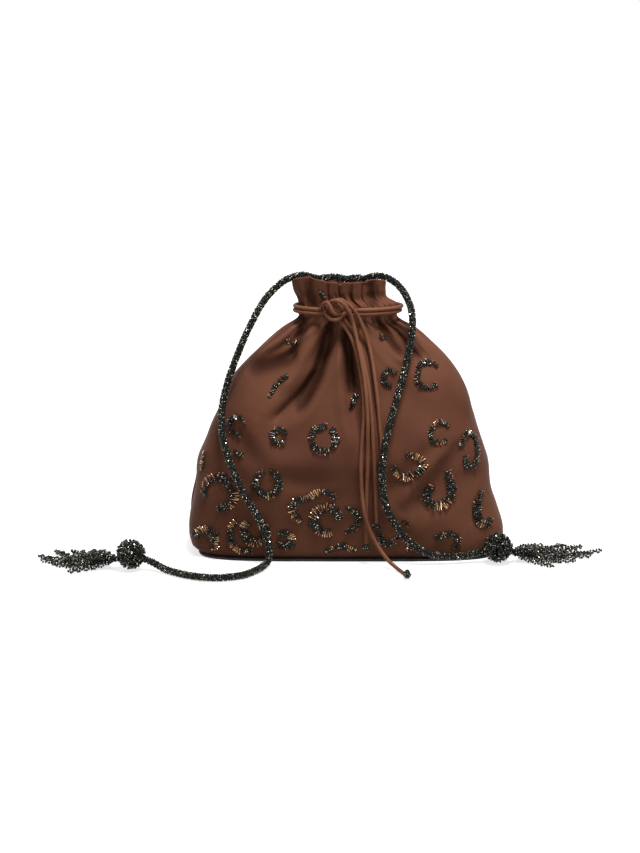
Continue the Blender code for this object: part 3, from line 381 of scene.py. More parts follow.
# Freely drawn spots: bead length in mm, share of bronze beads, places
FRONT_TRAILS = (
    (4.0, 0.05, ((-0.700, 0.461), (-0.645, 0.452))),
    (5.0, 0.85, ((-0.893, 0.438), (-0.903, 0.403), (-0.906, 0.366))),
    (4.6, 0.20, ((-0.480, 0.694), (-0.444, 0.733), (-0.370, 0.775))),
    (6.2, 0.60, ((-0.290, 0.182), (-0.333, 0.210), (-0.342, 0.250), (-0.306, 0.278), (-0.249, 0.282),
                 (-0.192, 0.305), (-0.129, 0.308), (-0.082, 0.286))),
    (8.0, 0.70, ((-0.962, 0.086), (-0.920, 0.112), (-0.869, 0.126), (-0.832, 0.109), (-0.824, 0.076),
                 (-0.826, 0.046))),
    (5.8, 0.60, ((-0.699, 0.173), (-0.731, 0.132), (-0.726, 0.090), (-0.695, 0.058), (-0.645, 0.046),
                 (-0.596, 0.048))),
    (5.2, 0.40, ((-0.134, 0.050), (-0.088, 0.064), (-0.026, 0.072), (0.022, 0.062), (0.050, 0.055))),
    (5.8, 0.05, ((0.698, 0.487), (0.714, 0.518), (0.748, 0.529), (0.784, 0.512), (0.805, 0.478),
                 (0.807, 0.441), (0.795, 0.404), (0.763, 0.390), (0.734, 0.410), (0.727, 0.438))),
    (6.4, 0.75, ((0.360, 0.464), (0.410, 0.457), (0.452, 0.441), (0.469, 0.420), (0.450, 0.397),
                 (0.404, 0.378), (0.355, 0.364), (0.308, 0.381), (0.279, 0.412))),
    (7.6, 0.50, ((0.619, 0.384), (0.630, 0.357), (0.644, 0.327), (0.650, 0.297), (0.623, 0.264),
                 (0.579, 0.242), (0.534, 0.243), (0.494, 0.262), (0.492, 0.294), (0.524, 0.326))),
    (7.6, 0.35, ((0.831, 0.284), (0.810, 0.256), (0.802, 0.220), (0.809, 0.180), (0.838, 0.150),
                 (0.873, 0.147), (0.896, 0.166))),
    (5.6, 0.10, ((0.543, 0.104), (0.587, 0.116), (0.638, 0.120), (0.680, 0.105), (0.684, 0.080),
                 (0.658, 0.064))),
    (5.6, 0.25, ((0.196, 0.129), (0.204, 0.103), (0.238, 0.082), (0.281, 0.088), (0.310, 0.113))),
    (3.6, 0.75, ((0.340, 0.183), (0.380, 0.164))),
    (4.6, 0.45, ((0.374, 0.054), (0.394, 0.076), (0.434, 0.086))),
    (4.6, 0.30, ((-0.375, 0.904), (-0.310, 0.898))),
    (4.6, 0.02, ((0.196, 0.930), (0.232, 0.918))),
    (4.6, 0.10, ((0.010, 0.650), (0.062, 0.702))),
    (4.4, 0.35, ((-0.172, 1.112), (-0.142, 1.088))),
)
BACK_SPOTS = (
    (-0.620, 0.250, 10.5, -60, 285, 6.4, 0.15),
    (-0.200, 0.180, 9.0, 110, 290, 5.4, 0.50),
    (0.240, 0.260, 10.0, 20, 280, 6.0, 0.30),
    (0.660, 0.200, 9.5, 200, 275, 5.8, 0.60),
    (-0.420, 0.520, 8.0, 40, 300, 4.8, 0.10),
    (0.300, 0.540, 9.0, 150, 275, 5.2, 0.40),
)

# Colours
SATIN_MID = (0.107, 0.042, 0.025, 1)
SATIN_DEEP = (0.088, 0.034, 0.021, 1)
SATIN_WARM = (0.130, 0.053, 0.030, 1)
# Painted shade: the colour the satin darkens to in deep valleys and at its foot
SATIN_PAINTED_SHADE = (0.030, 0.011, 0.007, 1)
SATIN_GLOSS = (1.0, 0.62, 0.46, 1)
LINING_PINK = (0.70, 0.50, 0.46, 1)
LINING_DEEP = (0.55, 0.35, 0.32, 1)
CORD_LIGHT = (0.200, 0.082, 0.045, 1)
# Painted shade: the braid's grooves take this deep colour, which the noise also uses for a darker tone
CORD_DEEP_AND_GROOVE_SHADE = (0.105, 0.040, 0.022, 1)
BEAD_BLACK = (0.007, 0.006, 0.006, 1)
BEAD_GREEN = (0.007, 0.012, 0.008, 1)
BEAD_BROWN = (0.075, 0.030, 0.015, 1)
BEAD_GOLD = (0.44, 0.25, 0.12, 1)
# Painted glints: small bright metallic spots on the beads in place of the lamps' sparkle
BEAD_PAINTED_GLINT = (0.42, 0.38, 0.29, 1)
PAINTED_GLINT_SCALE = 820
PAINTED_GLINT_START = 0.665
PAINTED_GLINT_EDGE = 0.04
CORE_BLACK = (0.008, 0.007, 0.007, 1)
BASE_BLACK = (0.014, 0.012, 0.012, 1)
THREAD_PALE = (0.34, 0.33, 0.24, 1)
FLOOR_PALE = (0.40, 0.40, 0.40, 1)


# Materials

def new_material(name, **shader_values):
    """A material with its shader, set by socket names with spaces written as underscores."""
    material = bpy.data.materials.new(name)
    material.use_nodes = True
    shader = material.node_tree.nodes["Principled BSDF"]
    for socket, value in shader_values.items():
        shader.inputs[socket.replace("_", " ")].default_value = value
    return material, shader


def add_node(material, kind, settings=None, **inputs):
    node = material.node_tree.nodes.new(kind)
    for name, value in (settings or {}).items():
        setattr(node, name, value)
    for name, value in inputs.items():
        node.inputs[name.replace("_", " ")].default_value = value
    return node


def join(material, source, target):
    material.node_tree.links.new(source, target)


def ramp(material, source, *stops):
    """A colour ramp through (place, colour) stops, fed by a socket."""
    node = add_node(material, "ShaderNodeValToRGB")
    elements = node.color_ramp.elements
    while len(elements) < len(stops):
        elements.new(0.5)
    for element, (place, colour) in zip(elements, stops):
        element.position = place
        element.color = colour
    join(material, source, node.inputs["Fac"])
    return node.outputs["Color"]


def object_noise(material, scale, detail=3.0):
    """Noise that sits still in the piece's own space."""
    coords = add_node(material, "ShaderNodeTexCoord")
    noise = add_node(material, "ShaderNodeTexNoise", Scale=scale, Detail=detail)
    join(material, coords.outputs["Object"], noise.inputs["Vector"])
    return noise.outputs["Fac"]


def uv_bands(material, pitch, turn):
    """Bands of a thread pitch across the piece's UV map, turned by an angle."""
    coords = add_node(material, "ShaderNodeTexCoord")
    place = add_node(material, "ShaderNodeMapping", Rotation=(0, 0, turn))
    bands = add_node(material, "ShaderNodeTexWave", Scale=pi / 10 / pitch)
    join(material, coords.outputs["UV"], place.inputs["Vector"])
    join(material, place.outputs["Vector"], bands.inputs["Vector"])
    return bands.outputs["Fac"]


def combined(material, operation, first, second):
    node = add_node(material, "ShaderNodeMath", {"operation": operation})
    for socket, value in zip(node.inputs, (first, second)):
        if isinstance(value, (int, float)):
            socket.default_value = value
        else:
            join(material, value, socket)
    return node.outputs["Value"]


def bumped(material, shader, *layers):
    """Stacks bump layers of (height socket, distance, strength) on the shader."""
    below = None
    for height, distance, strength in layers:
        bump = add_node(material, "ShaderNodeBump", Distance=distance, Strength=strength)
        join(material, height, bump.inputs["Height"])
        if below is not None:
            join(material, below, bump.inputs["Normal"])
        below = bump.outputs["Normal"]
    join(material, below, shader.inputs["Normal"])


def satin_material():
    """Brown satin: fine diagonal weave, slow colour drift, faint crumpling and painted shade in deep valleys and
    at the foot.
    """
    material, shader = new_material("brown_satin", Roughness=0.52, IOR=1.3, Specular_IOR_Level=0.1,
                                    Specular_Tint=SATIN_GLOSS)
    drift = object_noise(material, 14.0, 5.0)
    colour = ramp(material, drift, (0.30, SATIN_DEEP), (0.52, SATIN_MID), (0.72, SATIN_WARM))
    # Painted shade: deep valleys and the foot darken the satin's colour
    painted_shade = add_node(material, "ShaderNodeAttribute", {"attribute_name": "painted_shade"}).outputs["Fac"]
    shade = add_node(material, "ShaderNodeMix", {"data_type": "RGBA"}, B=SATIN_PAINTED_SHADE)
    join(material, painted_shade, shade.inputs["Factor"])
    join(material, colour, shade.inputs["A"])
    join(material, shade.outputs["Result"], shader.inputs["Base Color"])
    weave = combined(material, "MULTIPLY", uv_bands(material, 0.42 * MM, radians(38)),
                     uv_bands(material, 0.5 * MM, radians(-52)))
    bumped(material, shader, (object_noise(material, 55.0, 4.0), 1.2 * MM, 0.16),
           (object_noise(material, 420.0, 2.0), 0.2 * MM, 0.12), (weave, 0.05 * MM, 0.2))
    return material


def lining_material():
    """Pale pink lining with a soft sheen and a plain weave."""
    material, shader = new_material("pink_lining", Roughness=0.55, Sheen_Weight=0.2)
    colour = ramp(material, object_noise(material, 26.0, 4.0), (0.3, LINING_DEEP), (0.6, LINING_PINK))
    join(material, colour, shader.inputs["Base Color"])
    weave = combined(material, "MULTIPLY", uv_bands(material, 0.5 * MM, 0.0),
                     uv_bands(material, 0.5 * MM, radians(90)))
    bumped(material, shader, (object_noise(material, 90.0, 3.0), 0.8 * MM, 0.25), (weave, 0.05 * MM, 0.3))
    return material


def cord_material():
    """Braided satin cord: crossing bands along the cord, with painted shade in the grooves."""
    material, shader = new_material("satin_braid", Roughness=0.52, IOR=1.3, Specular_IOR_Level=0.25,
                                    Specular_Tint=SATIN_GLOSS)
    braid = combined(material, "MAXIMUM", uv_bands(material, 0.85 * MM, radians(35)),
                     uv_bands(material, 0.85 * MM, radians(-35)))
    # Painted shade: the braid's grooves take the deep colour, and the noise varies the tone
    shade = combined(material, "MULTIPLY", braid, object_noise(material, 60.0))
    colour = ramp(material, shade, (0.10, CORD_DEEP_AND_GROOVE_SHADE), (0.55, CORD_LIGHT))
    join(material, colour, shader.inputs["Base Color"])
    bumped(material, shader, (braid, 0.16 * MM, 0.7), (object_noise(material, 900.0), 0.05 * MM, 0.3))
    return material


def bead_material():
    """Glass beads: black with a green cast, or bronze and gold, by each bead's own tint, with painted glints as
    small bright metallic spots.
    """
    material, shader = new_material("bead_glass", Roughness=0.16, Specular_IOR_Level=0.18)
    tint = add_node(material, "ShaderNodeAttribute", {"attribute_name": "tint"}).outputs["Fac"]
    cast = ramp(material, object_noise(material, 300.0), (0.42, BEAD_BLACK), (0.62, BEAD_GREEN))
    metal = ramp(material, tint, (0.34, BEAD_BLACK), (0.60, BEAD_BROWN), (1.00, BEAD_GOLD))
    share = ramp(material, tint, (0.30, (0, 0, 0, 1)), (0.55, (1, 1, 1, 1)))
    mix = add_node(material, "ShaderNodeMix", {"data_type": "RGBA"})
    join(material, share, mix.inputs["Factor"])
    join(material, cast, mix.inputs["A"])
    join(material, metal, mix.inputs["B"])
    # Painted glints: noise spots that turn a bead bright and metallic
    painted_glint = ramp(material, object_noise(material, PAINTED_GLINT_SCALE, 0.0), (PAINTED_GLINT_START, (0, 0, 0, 1)),
                 (PAINTED_GLINT_START + PAINTED_GLINT_EDGE, (1, 1, 1, 1)))
    bright = add_node(material, "ShaderNodeMix", {"data_type": "RGBA"}, B=BEAD_PAINTED_GLINT)
    join(material, painted_glint, bright.inputs["Factor"])
    join(material, mix.outputs["Result"], bright.inputs["A"])
    join(material, bright.outputs["Result"], shader.inputs["Base Color"])
    metallic = combined(material, "MAXIMUM", combined(material, "MULTIPLY", share, 0.8), painted_glint)
    join(material, metallic, shader.inputs["Metallic"])
    return material


def plain_weave_material(name, colour, groove_shade, roughness, pitch):
    """A matte woven or twisted fibre in one colour, with painted shade in its grooves."""
    material, shader = new_material(name, Roughness=roughness)
    weave = combined(material, "MULTIPLY", uv_bands(material, pitch, radians(20)),
                     uv_bands(material, pitch, radians(110)))
    # Painted shade: the grooves of the weave take the darker colour
    join(material, ramp(material, weave, (0.1, groove_shade), (0.6, colour)), shader.inputs["Base Color"])
    bumped(material, shader, (weave, 0.1 * MM, 0.5), (object_noise(material, 500.0), 0.1 * MM, 0.3))
    return material


def darker(colour, share):
    return (*(value * share for value in colour[:3]), 1)


# The cloth surface

def smooth_rows(rows, at):
    """Read every column of a table at the keys `at`, on a smooth curve through its rows."""
    rows = np.asarray(rows, float)
    key = rows[:, 0]
    values = rows[:, 1:]
    slopes = np.gradient(values, key, axis=0)
    at = np.clip(np.asarray(at, float), key[0], key[-1])
    low = np.clip(np.searchsorted(key, at, side="right") - 1, 0, len(key) - 2)
    span = (key[low + 1] - key[low])[..., None]
    t = (at - key[low])[..., None] / span
    rise = values[low + 1] - values[low]
    bend = 3 * t ** 2 - 2 * t ** 3
    leave = slopes[low] * span * (t ** 3 - 2 * t ** 2 + t)
    arrive = slopes[low + 1] * span * (t ** 3 - t ** 2)
    return values[low] + rise * bend + leave + arrive


def body_height(share):
    """Height above the floor of a share of the body, which starts on the base panel."""
    return CLOTH_FOOT + share * (BODY_HEIGHT - CLOTH_FOOT)


def ruffle_height(share):
    """Height above the floor of a share of the neck and ruffle, which stand on the body."""
    return BODY_HEIGHT + share * RUFFLE_HEIGHT


def section_table():
    """Height, half width, half depth, squareness and lean of each cloth section, in metres."""
    rows = []
    for height, width, depth, squareness, lean in BODY_SECTIONS:
        rows.append((body_height(height), width * BAG_WIDTH / 2, depth * BAG_DEPTH / 2,
                     squareness, lean * BAG_WIDTH / 2))
    for sections, full_width, full_depth in ((NECK_SECTIONS, NECK_WIDTH, NECK_DEPTH),
                                             (RUFFLE_SECTIONS, RUFFLE_WIDTH, RUFFLE_DEPTH)):
        for height, width, depth, squareness, lean in sections:
            rows.append((ruffle_height(height), width * full_width / 2, depth * full_depth / 2,
                         squareness, lean * full_width))
    return rows


def smoothstep(x):
    x = np.clip(x, 0, 1)
    return x * x * (3 - 2 * x)


def half_loop(half_width, half_depth, squareness, shares):
    """Points of half a rounded outline at even shares of its length, from -X over +Y to +X."""
    corner = 0.5 ** (1 / squareness)
    climb = np.linspace(0, corner, OUTLINE_STEPS)
    side_x = (1 - climb ** squareness) ** (1 / squareness)
    x = np.concatenate((side_x, climb[-2::-1])) * half_width
    y = np.concatenate((climb, side_x[-2::-1])) * half_depth
    x = np.concatenate((-x, x[-2::-1]))
    y = np.concatenate((y, y[-2::-1]))
    length = np.concatenate(([0], np.cumsum(np.hypot(np.diff(x), np.diff(y)))))
    at = np.asarray(shares) * length[-1]
    return np.interp(at, length, x), np.interp(at, length, y), length[-1]


def fold_relief(path, width, depth, height, across, half_width):
    """A valley (or a ridge, with a negative depth) that runs down the cloth along its path."""
    rows = sorted(path)
    centre = smooth_rows(rows, height)[..., 0]
    low = rows[0][0]
    high = rows[-1][0]
    fade = FOLD_FADE * (high - low)
    rising = smoothstep((height - low + fade) / (2 * fade))
    falling = smoothstep((high + fade - height) / (2 * fade))
    offset = (across - centre) * half_width / width
    valley = np.exp(-offset ** 2)
    shoulders = SHOULDER_RISE * np.exp(-SHOULDER_SHARPNESS * (np.abs(offset) - SHOULDER_PLACE) ** 2)
    return -depth * rising * falling * (valley - shoulders)


def pleat_relief(low_place, high_place, width, depth, share, across, half_width):
    """A slit between two pleats, from the cords up to the rim."""
    centre = low_place + (high_place - low_place) * share
    offset = (across - centre) * half_width / width
    return -depth * smoothstep((share - PLEAT_START) / PLEAT_FADE) * np.exp(-offset ** 2)


def back_pleats():
    places = [BACK_PLEAT_SPAN * ((i + 0.5) / BACK_PLEATS - 0.5) for i in range(BACK_PLEATS)]
    return [(place, place, BACK_PLEAT_WIDTH, BACK_PLEAT_DEPTH) for place in places]


def cloth_relief(height, around, across, half_width):
    """How far folds, gathers and pleats push the cloth out of its plain outline."""
    body_share = height / BODY_HEIGHT
    ruffle_share = (height - BODY_HEIGHT) / RUFFLE_HEIGHT
    off_side = smoothstep((1 - np.abs(across)) / SIDE_SEAM_FADE)
    front = np.where(around < 1, off_side, 0.0)
    back = off_side - front
    below_neck = smoothstep((1 - body_share) / NECK_FADE)
    relief = np.zeros_like(across)
    for side, folds in ((front, FRONT_FOLDS), (back, BACK_FOLDS)):
        for path, width, depth in folds:
            relief += side * below_neck * fold_relief(path, width, depth, body_share, across, half_width)
    for side, pleats in ((front, FRONT_PLEATS), (back, back_pleats())):
        for pleat in pleats:
            relief += side * pleat_relief(*pleat, ruffle_share, across, half_width)
    bunch_start = smoothstep((body_share - GATHER_START) / GATHER_RISE)
    bunch_end = smoothstep((GATHER_END - ruffle_share) / GATHER_FALL)
    drift = GATHER_DRIFT * np.sin(2 * pi * GATHER_DRIFT_WAVES * around)
    wave = 0.5 - 0.5 * np.cos(2 * pi * (GATHERS * around + drift))
    return relief - GATHER_DEPTH * bunch_start * bunch_end * wave


def fine_relief(height, around):
    """Fine gathers below and above the cords, and the slow unevenness of the hanging cloth."""
    draw = np.random.default_rng(11)
    relief = np.zeros(np.broadcast(height, around).shape)
    for number in range(FINE_GATHERS):
        place = 2 * (number + draw.uniform(-0.35, 0.35)) / FINE_GATHERS
        width = draw.uniform(*FINE_WIDTH)
        depth = draw.uniform(*FINE_DEPTH)
        end = draw.uniform(*FINE_END)
        top = draw.uniform(*FINE_TOP)
        drift = draw.normal(0, FINE_DRIFT)
        down = np.clip((UPPER_TURN_HEIGHT - height) / (UPPER_TURN_HEIGHT - end), 0, 1)
        away = (around - place - drift * down + 1) % 2 - 1
        fade = smoothstep((height - end) / FINE_FADE_IN) * smoothstep((top - height) / FINE_FADE_OUT)
        relief -= depth * fade * np.exp(-(away / width) ** 2)
    slow = smoothstep(height / (0.3 * BODY_HEIGHT)) * smoothstep((BODY_HEIGHT - height) / (0.25 * BODY_HEIGHT))
    for turns, climbs, phase, depth in SLOW_WAVES:
        relief += depth * slow * np.sin(2 * pi * (turns * around / 2 + climbs * height / BODY_HEIGHT) + phase)
    return relief


def soft_fold_relief(across, height):
    """Sharp valleys and soft swells along lines drawn on the front, given in metres."""
    relief = np.zeros(np.broadcast(across, height).shape)
    for width, rise, places in SOFT_FOLDS:
        line = smooth_route(np.asarray(places) * MM, 2 * MM)
        nearest = np.full(relief.shape, np.inf)
        share = np.zeros(relief.shape)
        for number, (x, z) in enumerate(line):
            away = (across - x) ** 2 + (height - z) ** 2
            closer = away < nearest
            nearest[closer] = away[closer]
            share[closer] = number / (len(line) - 1)
        fade = smoothstep(share / SOFT_FADE) * smoothstep((1 - share) / SOFT_FADE)
        relief += rise * MM * fade * np.exp(-nearest / (width * MM) ** 2)
    return relief


def rim_rise(around):
    """How far the rim stands above or below its plain height."""
    rise = np.zeros_like(around)
    for place, width, height in RIM_WAVES:
        away = np.abs(around - place)
        rise += height * np.exp(-(np.minimum(away, 2 - away) / width) ** 2)
    return rise


def cloth_grid(heights, around, inset=0.0, relief=1.0, fine=0.0):
    """Rings of the cloth from low to high, `inset` inside its outer face, and their girths."""
    heights = np.asarray(heights, float)
    table = smooth_rows(section_table(), heights)
    half_width, half_depth, squareness, lean = (table[:, k][:, None] for k in range(4))
    share = np.where(around < 1, around, 2 - around)
    loops = [half_loop(*row[:3], share) for row in table]
    x = np.stack([loop[0] for loop in loops])
    y = np.stack([loop[1] for loop in loops]) * np.where(around < 1, -1, 1)
    normal = np.stack((np.sign(x) * np.abs(x / half_width) ** (squareness - 1) / half_width,
                       np.sign(y) * np.abs(y / half_depth) ** (squareness - 1) / half_depth), axis=-1)
    normal /= np.linalg.norm(normal, axis=-1)[..., None]
    level = heights[:, None]
    push = relief * cloth_relief(level, around[None, :], x / half_width, half_width) - inset
    if fine:
        push += fine_relief(level, around[None, :])
        push += np.where(around < 1, soft_fold_relief(x + lean, level), 0)
        push -= FOOT_TUCK * (1 - smoothstep((level - CLOTH_FOOT) / FOOT_TUCK_HEIGHT))
    above_cords = (level - ruffle_height(CORD_SHARE)) / (ruffle_height(1) - ruffle_height(CORD_SHARE))
    z = level + smoothstep(above_cords) * (rim_rise(around) - fine * pleat_top_dip(x / half_width, around))
    rings = np.stack((x + lean + push * normal[..., 0], y + push * normal[..., 1], z), axis=-1)
    return rings, np.array([2 * loop[2] for loop in loops])


def pleat_top_dip(across, around):
    """How far the rim dips where two pleats meet."""
    dip = np.zeros_like(across)
    for pleat, depth in zip(FRONT_PLEATS, PLEAT_TOP_DIPS):
        dip += np.where(around < 1, depth * np.exp(-((across - pleat[1]) / PLEAT_TOP_WIDTH) ** 2), 0)
    return dip


def smooth_route(points, spacing):
    """Even points along a smooth curve through a route's own points."""
    points = np.asarray(points, float)
    run = np.concatenate(([0], np.cumsum(np.linalg.norm(np.diff(points, axis=0), axis=1))))
    count = max(2, round(run[-1] / spacing)) + 1
    return smooth_rows(np.column_stack((run, points)), np.linspace(0, run[-1], count))


def around_shares(front, back):
    return np.concatenate((np.arange(front) / front, 1 + np.arange(back) / back))


# Meshes

def finish_piece(thing, material, slot, *nodes):
    """Give a piece its material, let it ride on the frame and stand for its nodes; its slot is not used."""
    thing.data.materials.clear()
    thing.data.materials.append(material)
    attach(thing, "root")
    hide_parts(*nodes)
    return thing


def place_mesh(name, points, faces, smooth=True):
    mesh = bpy.data.meshes.new(name)
    mesh.from_pydata(np.asarray(points).tolist(), [], faces)
    if smooth:
        mesh.shade_smooth()
    thing = bpy.data.objects.new(name, mesh)
    bpy.context.scene.collection.objects.link(thing)
    return thing


def ring_faces(rows, columns):
    """Quads between neighbouring closed rings, as an array of corner numbers."""
    row = np.arange(rows - 1)[:, None] * columns
    left = np.arange(columns)[None, :]
    right = (left + 1) % columns
    corners = (row + left, row + right, row + columns + right, row + columns + left)
    return np.stack(corners, axis=-1).reshape(-1, 4)


def loft(name, rings, girths, lengths):
    """A closed skin over rings, with a UV map in metres round and along it."""
    rows, columns = rings.shape[:2]
    points = rings.reshape(-1, 3)
    quads = ring_faces(rows, columns)
    caps = [list(range(columns))[::-1], list(range((rows - 1) * columns, rows * columns))]
    thing = place_mesh(name, points, quads.tolist() + caps)
    share = np.arange(columns + 1) / columns
    u = np.asarray(girths)[:, None] * share[None, :]
    v = np.broadcast_to(np.asarray(lengths)[:, None], u.shape)
    uv = np.stack((u, v), axis=-1)
    row = np.arange(rows - 1)[:, None]
    left = np.arange(columns)[None, :]
    corners = (uv[row, left], uv[row, left + 1], uv[row + 1, left + 1], uv[row + 1, left])
    sides = np.stack(corners, axis=2).reshape(-1, 2)
    ends = points[np.concatenate(caps)][:, :2]
    layer = thing.data.uv_layers.new(name="surface")
    layer.data.foreach_set("uv", np.concatenate((sides, ends)).astype(np.float32).ravel())
    return thing


def frames_along(points):
    """Directions ahead, to one side and up at each point of a line, turned as little as possible."""
    ahead = np.gradient(points, axis=0)
    ahead /= np.linalg.norm(ahead, axis=1)[:, None]
    side = np.zeros_like(points)
    start = np.array((1.0, 0, 0)) if abs(ahead[0, 0]) < 0.8 else np.array((0, 1.0, 0))
    last = start
    for k, direction in enumerate(ahead):
        last = last - direction * last.dot(direction)
        last = last / np.linalg.norm(last)
        side[k] = last
    return ahead, side, np.cross(ahead, side)


def tube_rings(points, radius, sides, round_ends=True):
    """Rings of a tube along points, its ends closed to small round tips, and their lengths along."""
    points = np.asarray(points, float)
    ahead, side, up = frames_along(points)
    reach = np.full(len(points), radius)
    if round_ends:
        tips = radians(80) * np.array((1, 0.72, 0.4))
        start = [points[0] - ahead[0] * radius * sin(tip) for tip in tips]
        end = [points[-1] + ahead[-1] * radius * sin(tip) for tip in tips[::-1]]
        points = np.concatenate((start, points, end))
        side = np.concatenate((side[:1].repeat(3, 0), side, side[-1:].repeat(3, 0)))
        up = np.concatenate((up[:1].repeat(3, 0), up, up[-1:].repeat(3, 0)))
        small = radius * np.cos(tips)
        reach = np.concatenate((small, reach, small[::-1]))
    angle = 2 * pi * np.arange(sides) / sides
    circle = np.cos(angle)[None, :, None] * side[:, None] + np.sin(angle)[None, :, None] * up[:, None]
    rings = points[:, None] + reach[:, None, None] * circle
    run = np.concatenate(([0], np.cumsum(np.linalg.norm(np.diff(points, axis=0), axis=1))))
    return rings, np.full(len(points), 2 * pi * radius), run


def joined(name, things):
    """Join meshes into the first of them and name it."""
    bpy.ops.object.select_all(action="DESELECT")
    for thing in things:
        thing.select_set(True)
    bpy.context.view_layer.objects.active = things[0]
    bpy.ops.object.join()
    things[0].name = name
    things[0].data.name = name
    return things[0]


# Bead shapes

def take_shape(thing):
    """The points and faces of a modelled bead, which then goes."""
    points = np.array([tuple(v.co) for v in thing.data.vertices])
    faces = [list(p.vertices) for p in thing.data.polygons]
    mesh = thing.data
    bpy.data.objects.remove(thing)
    bpy.data.meshes.remove(mesh)
    return points, faces


def seed_bead():
    """A small bead one unit across, a little flattened along its hole."""
    bpy.ops.object.select_all(action="DESELECT")
    bpy.ops.mesh.primitive_uv_sphere_add(segments=6, ring_count=4, radius=0.5)
    bpy.ops.object.mode_set(mode="EDIT")
    bpy.ops.mesh.select_all(action="SELECT")
    bpy.ops.transform.resize(value=(1, 1, 0.8))
    bpy.ops.object.mode_set(mode="OBJECT")
    return take_shape(bpy.context.active_object)


def bugle_bead():
    """A tube bead one unit long and one across, with its end edges cut back."""
    bpy.ops.object.select_all(action="DESELECT")
    bpy.ops.mesh.primitive_cylinder_add(vertices=7, radius=0.5, depth=1)
    thing = bpy.context.active_object
    for polygon in thing.data.polygons:
        polygon.select = abs(polygon.normal.z) > 0.9
    bpy.ops.object.mode_set(mode="EDIT")
    bpy.ops.mesh.bevel(offset=0.09, segments=1)
    bpy.ops.object.mode_set(mode="OBJECT")
    return take_shape(thing)


def stamped(name, shape, places, axes, sizes, tints):
    """Copies of a bead as one mesh. Axes are each bead's three directions, tints its two ends'."""
    points, faces = shape
    places = np.asarray(places, float)
    local = points[None] * np.asarray(sizes, float)[:, None, :]
    spread = np.einsum("npk,nkj->npj", local, np.asarray(axes, float)) + places[:, None]
    every = [[corner + number * len(points) for corner in face]
             for number in range(len(places)) for face in faces]
    thing = place_mesh(name, spread.reshape(-1, 3), every, smooth=False)
    tints = np.asarray(tints, float)
    along = points[:, 2] + 0.5
    tint = tints[:, :1] * (1 - along[None]) + tints[:, 1:] * along[None]
    attribute = thing.data.attributes.new("tint", "FLOAT", "POINT")
    attribute.data.foreach_set("value", np.clip(tint, 0, 1).astype(np.float32).ravel())
    return thing


def loose_axes(ahead, draw, spread=0.35):
    """Three directions for each bead, its hole along `ahead` but a little astray."""
    ahead = np.asarray(ahead, float) + draw.normal(0, spread, np.shape(ahead))
    ahead /= np.linalg.norm(ahead, axis=1)[:, None]
    helper = draw.normal(size=ahead.shape)
    side = np.cross(ahead, helper)
    side /= np.linalg.norm(side, axis=1)[:, None]
    return np.stack((side, np.cross(ahead, side), ahead), axis=1)


def bead_tints(count, level, draw):
    """Tints that scatter round a level, the same at both ends of a bead."""
    tint = np.clip(draw.normal(level, 0.13, count), 0, 1)
    return np.stack((tint, tint), axis=1)


# View, floor and light

def make_camera():
    camera = bpy.data.cameras.new("view")
    camera.lens = VIEW_LENS
    camera.sensor_width = 36
    thing = bpy.data.objects.new("view", camera)
    bpy.context.scene.collection.objects.link(thing)
    back = Vector((0, -cos(VIEW_ELEVATION), sin(VIEW_ELEVATION)))
    thing.location = VIEW_AIM + back * VIEW_DISTANCE
    thing.rotation_euler = (-back).to_track_quat("-Z", "Y").to_euler()
    bpy.context.scene.camera = thing


def make_lamp(name, place, aim, size, power):
    lamp = bpy.data.lights.new(name, "AREA")
    lamp.shape = "DISK"
    lamp.size = size
    lamp.energy = power
    thing = bpy.data.objects.new(name, lamp)
    bpy.context.scene.collection.objects.link(thing)
    thing.location = place
    thing.rotation_euler = (Vector(aim) - Vector(place)).to_track_quat("-Z", "Y").to_euler()


def seen_ray(tree, *kinds):
    """1 for rays that come straight from the view or off glossy or clear surfaces."""
    path = tree.nodes.new("ShaderNodeLightPath")
    last = path.outputs[kinds[0]]
    for kind in kinds[1:]:
        either = tree.nodes.new("ShaderNodeMath")
        either.operation = "MAXIMUM"
        tree.links.new(last, either.inputs[0])
        tree.links.new(path.outputs[kind], either.inputs[1])
        last = either.outputs["Value"]
    return last


def make_world():
    world = bpy.data.worlds.new("studio")
    bpy.context.scene.world = world
    world.use_nodes = True
    tree = world.node_tree
    back = tree.nodes["Background"]
    back.inputs["Color"].default_value = (1, 1, 1, 1)
    level = tree.nodes.new("ShaderNodeMapRange")
    level.inputs["To Min"].default_value = WORLD_LEVEL
    level.inputs["To Max"].default_value = 1.0
    tree.links.new(seen_ray(tree, "Is Camera Ray", "Is Glossy Ray", "Is Transmission Ray"), level.inputs["Value"])
    tree.links.new(level.outputs["Result"], back.inputs["Strength"])


def make_floor():
    """A white sheet that runs far back, whiter away from the bag, and keeps the bag's faint shadow."""
    bpy.ops.object.select_all(action="DESELECT")
    bpy.ops.mesh.primitive_plane_add(size=12, location=(0, 3, 0))
    floor = bpy.context.active_object
    floor.name = "floor"
    bpy.ops.object.transform_apply(location=True, rotation=True, scale=True)
    material, shader = new_material("white_floor", Base_Color=FLOOR_PALE, Roughness=0.9,
                                    Specular_IOR_Level=0.1, Emission_Color=(1, 1, 1, 1))
    coords = add_node(material, "ShaderNodeTexCoord")
    away = add_node(material, "ShaderNodeVectorMath", {"operation": "LENGTH"})
    join(material, coords.outputs["Object"], away.inputs[0])
    lift = add_node(material, "ShaderNodeMapRange", From_Min=FLOOR_NEAR, From_Max=FLOOR_FAR,
                    To_Min=FLOOR_LIFT, To_Max=1.0)
    join(material, away.outputs["Value"], lift.inputs["Value"])
    seen = seen_ray(material.node_tree, "Is Camera Ray", "Is Glossy Ray", "Is Transmission Ray")
    join(material, combined(material, "MULTIPLY", seen, lift.outputs["Result"]),
         shader.inputs["Emission Strength"])
    floor.data.materials.append(material)


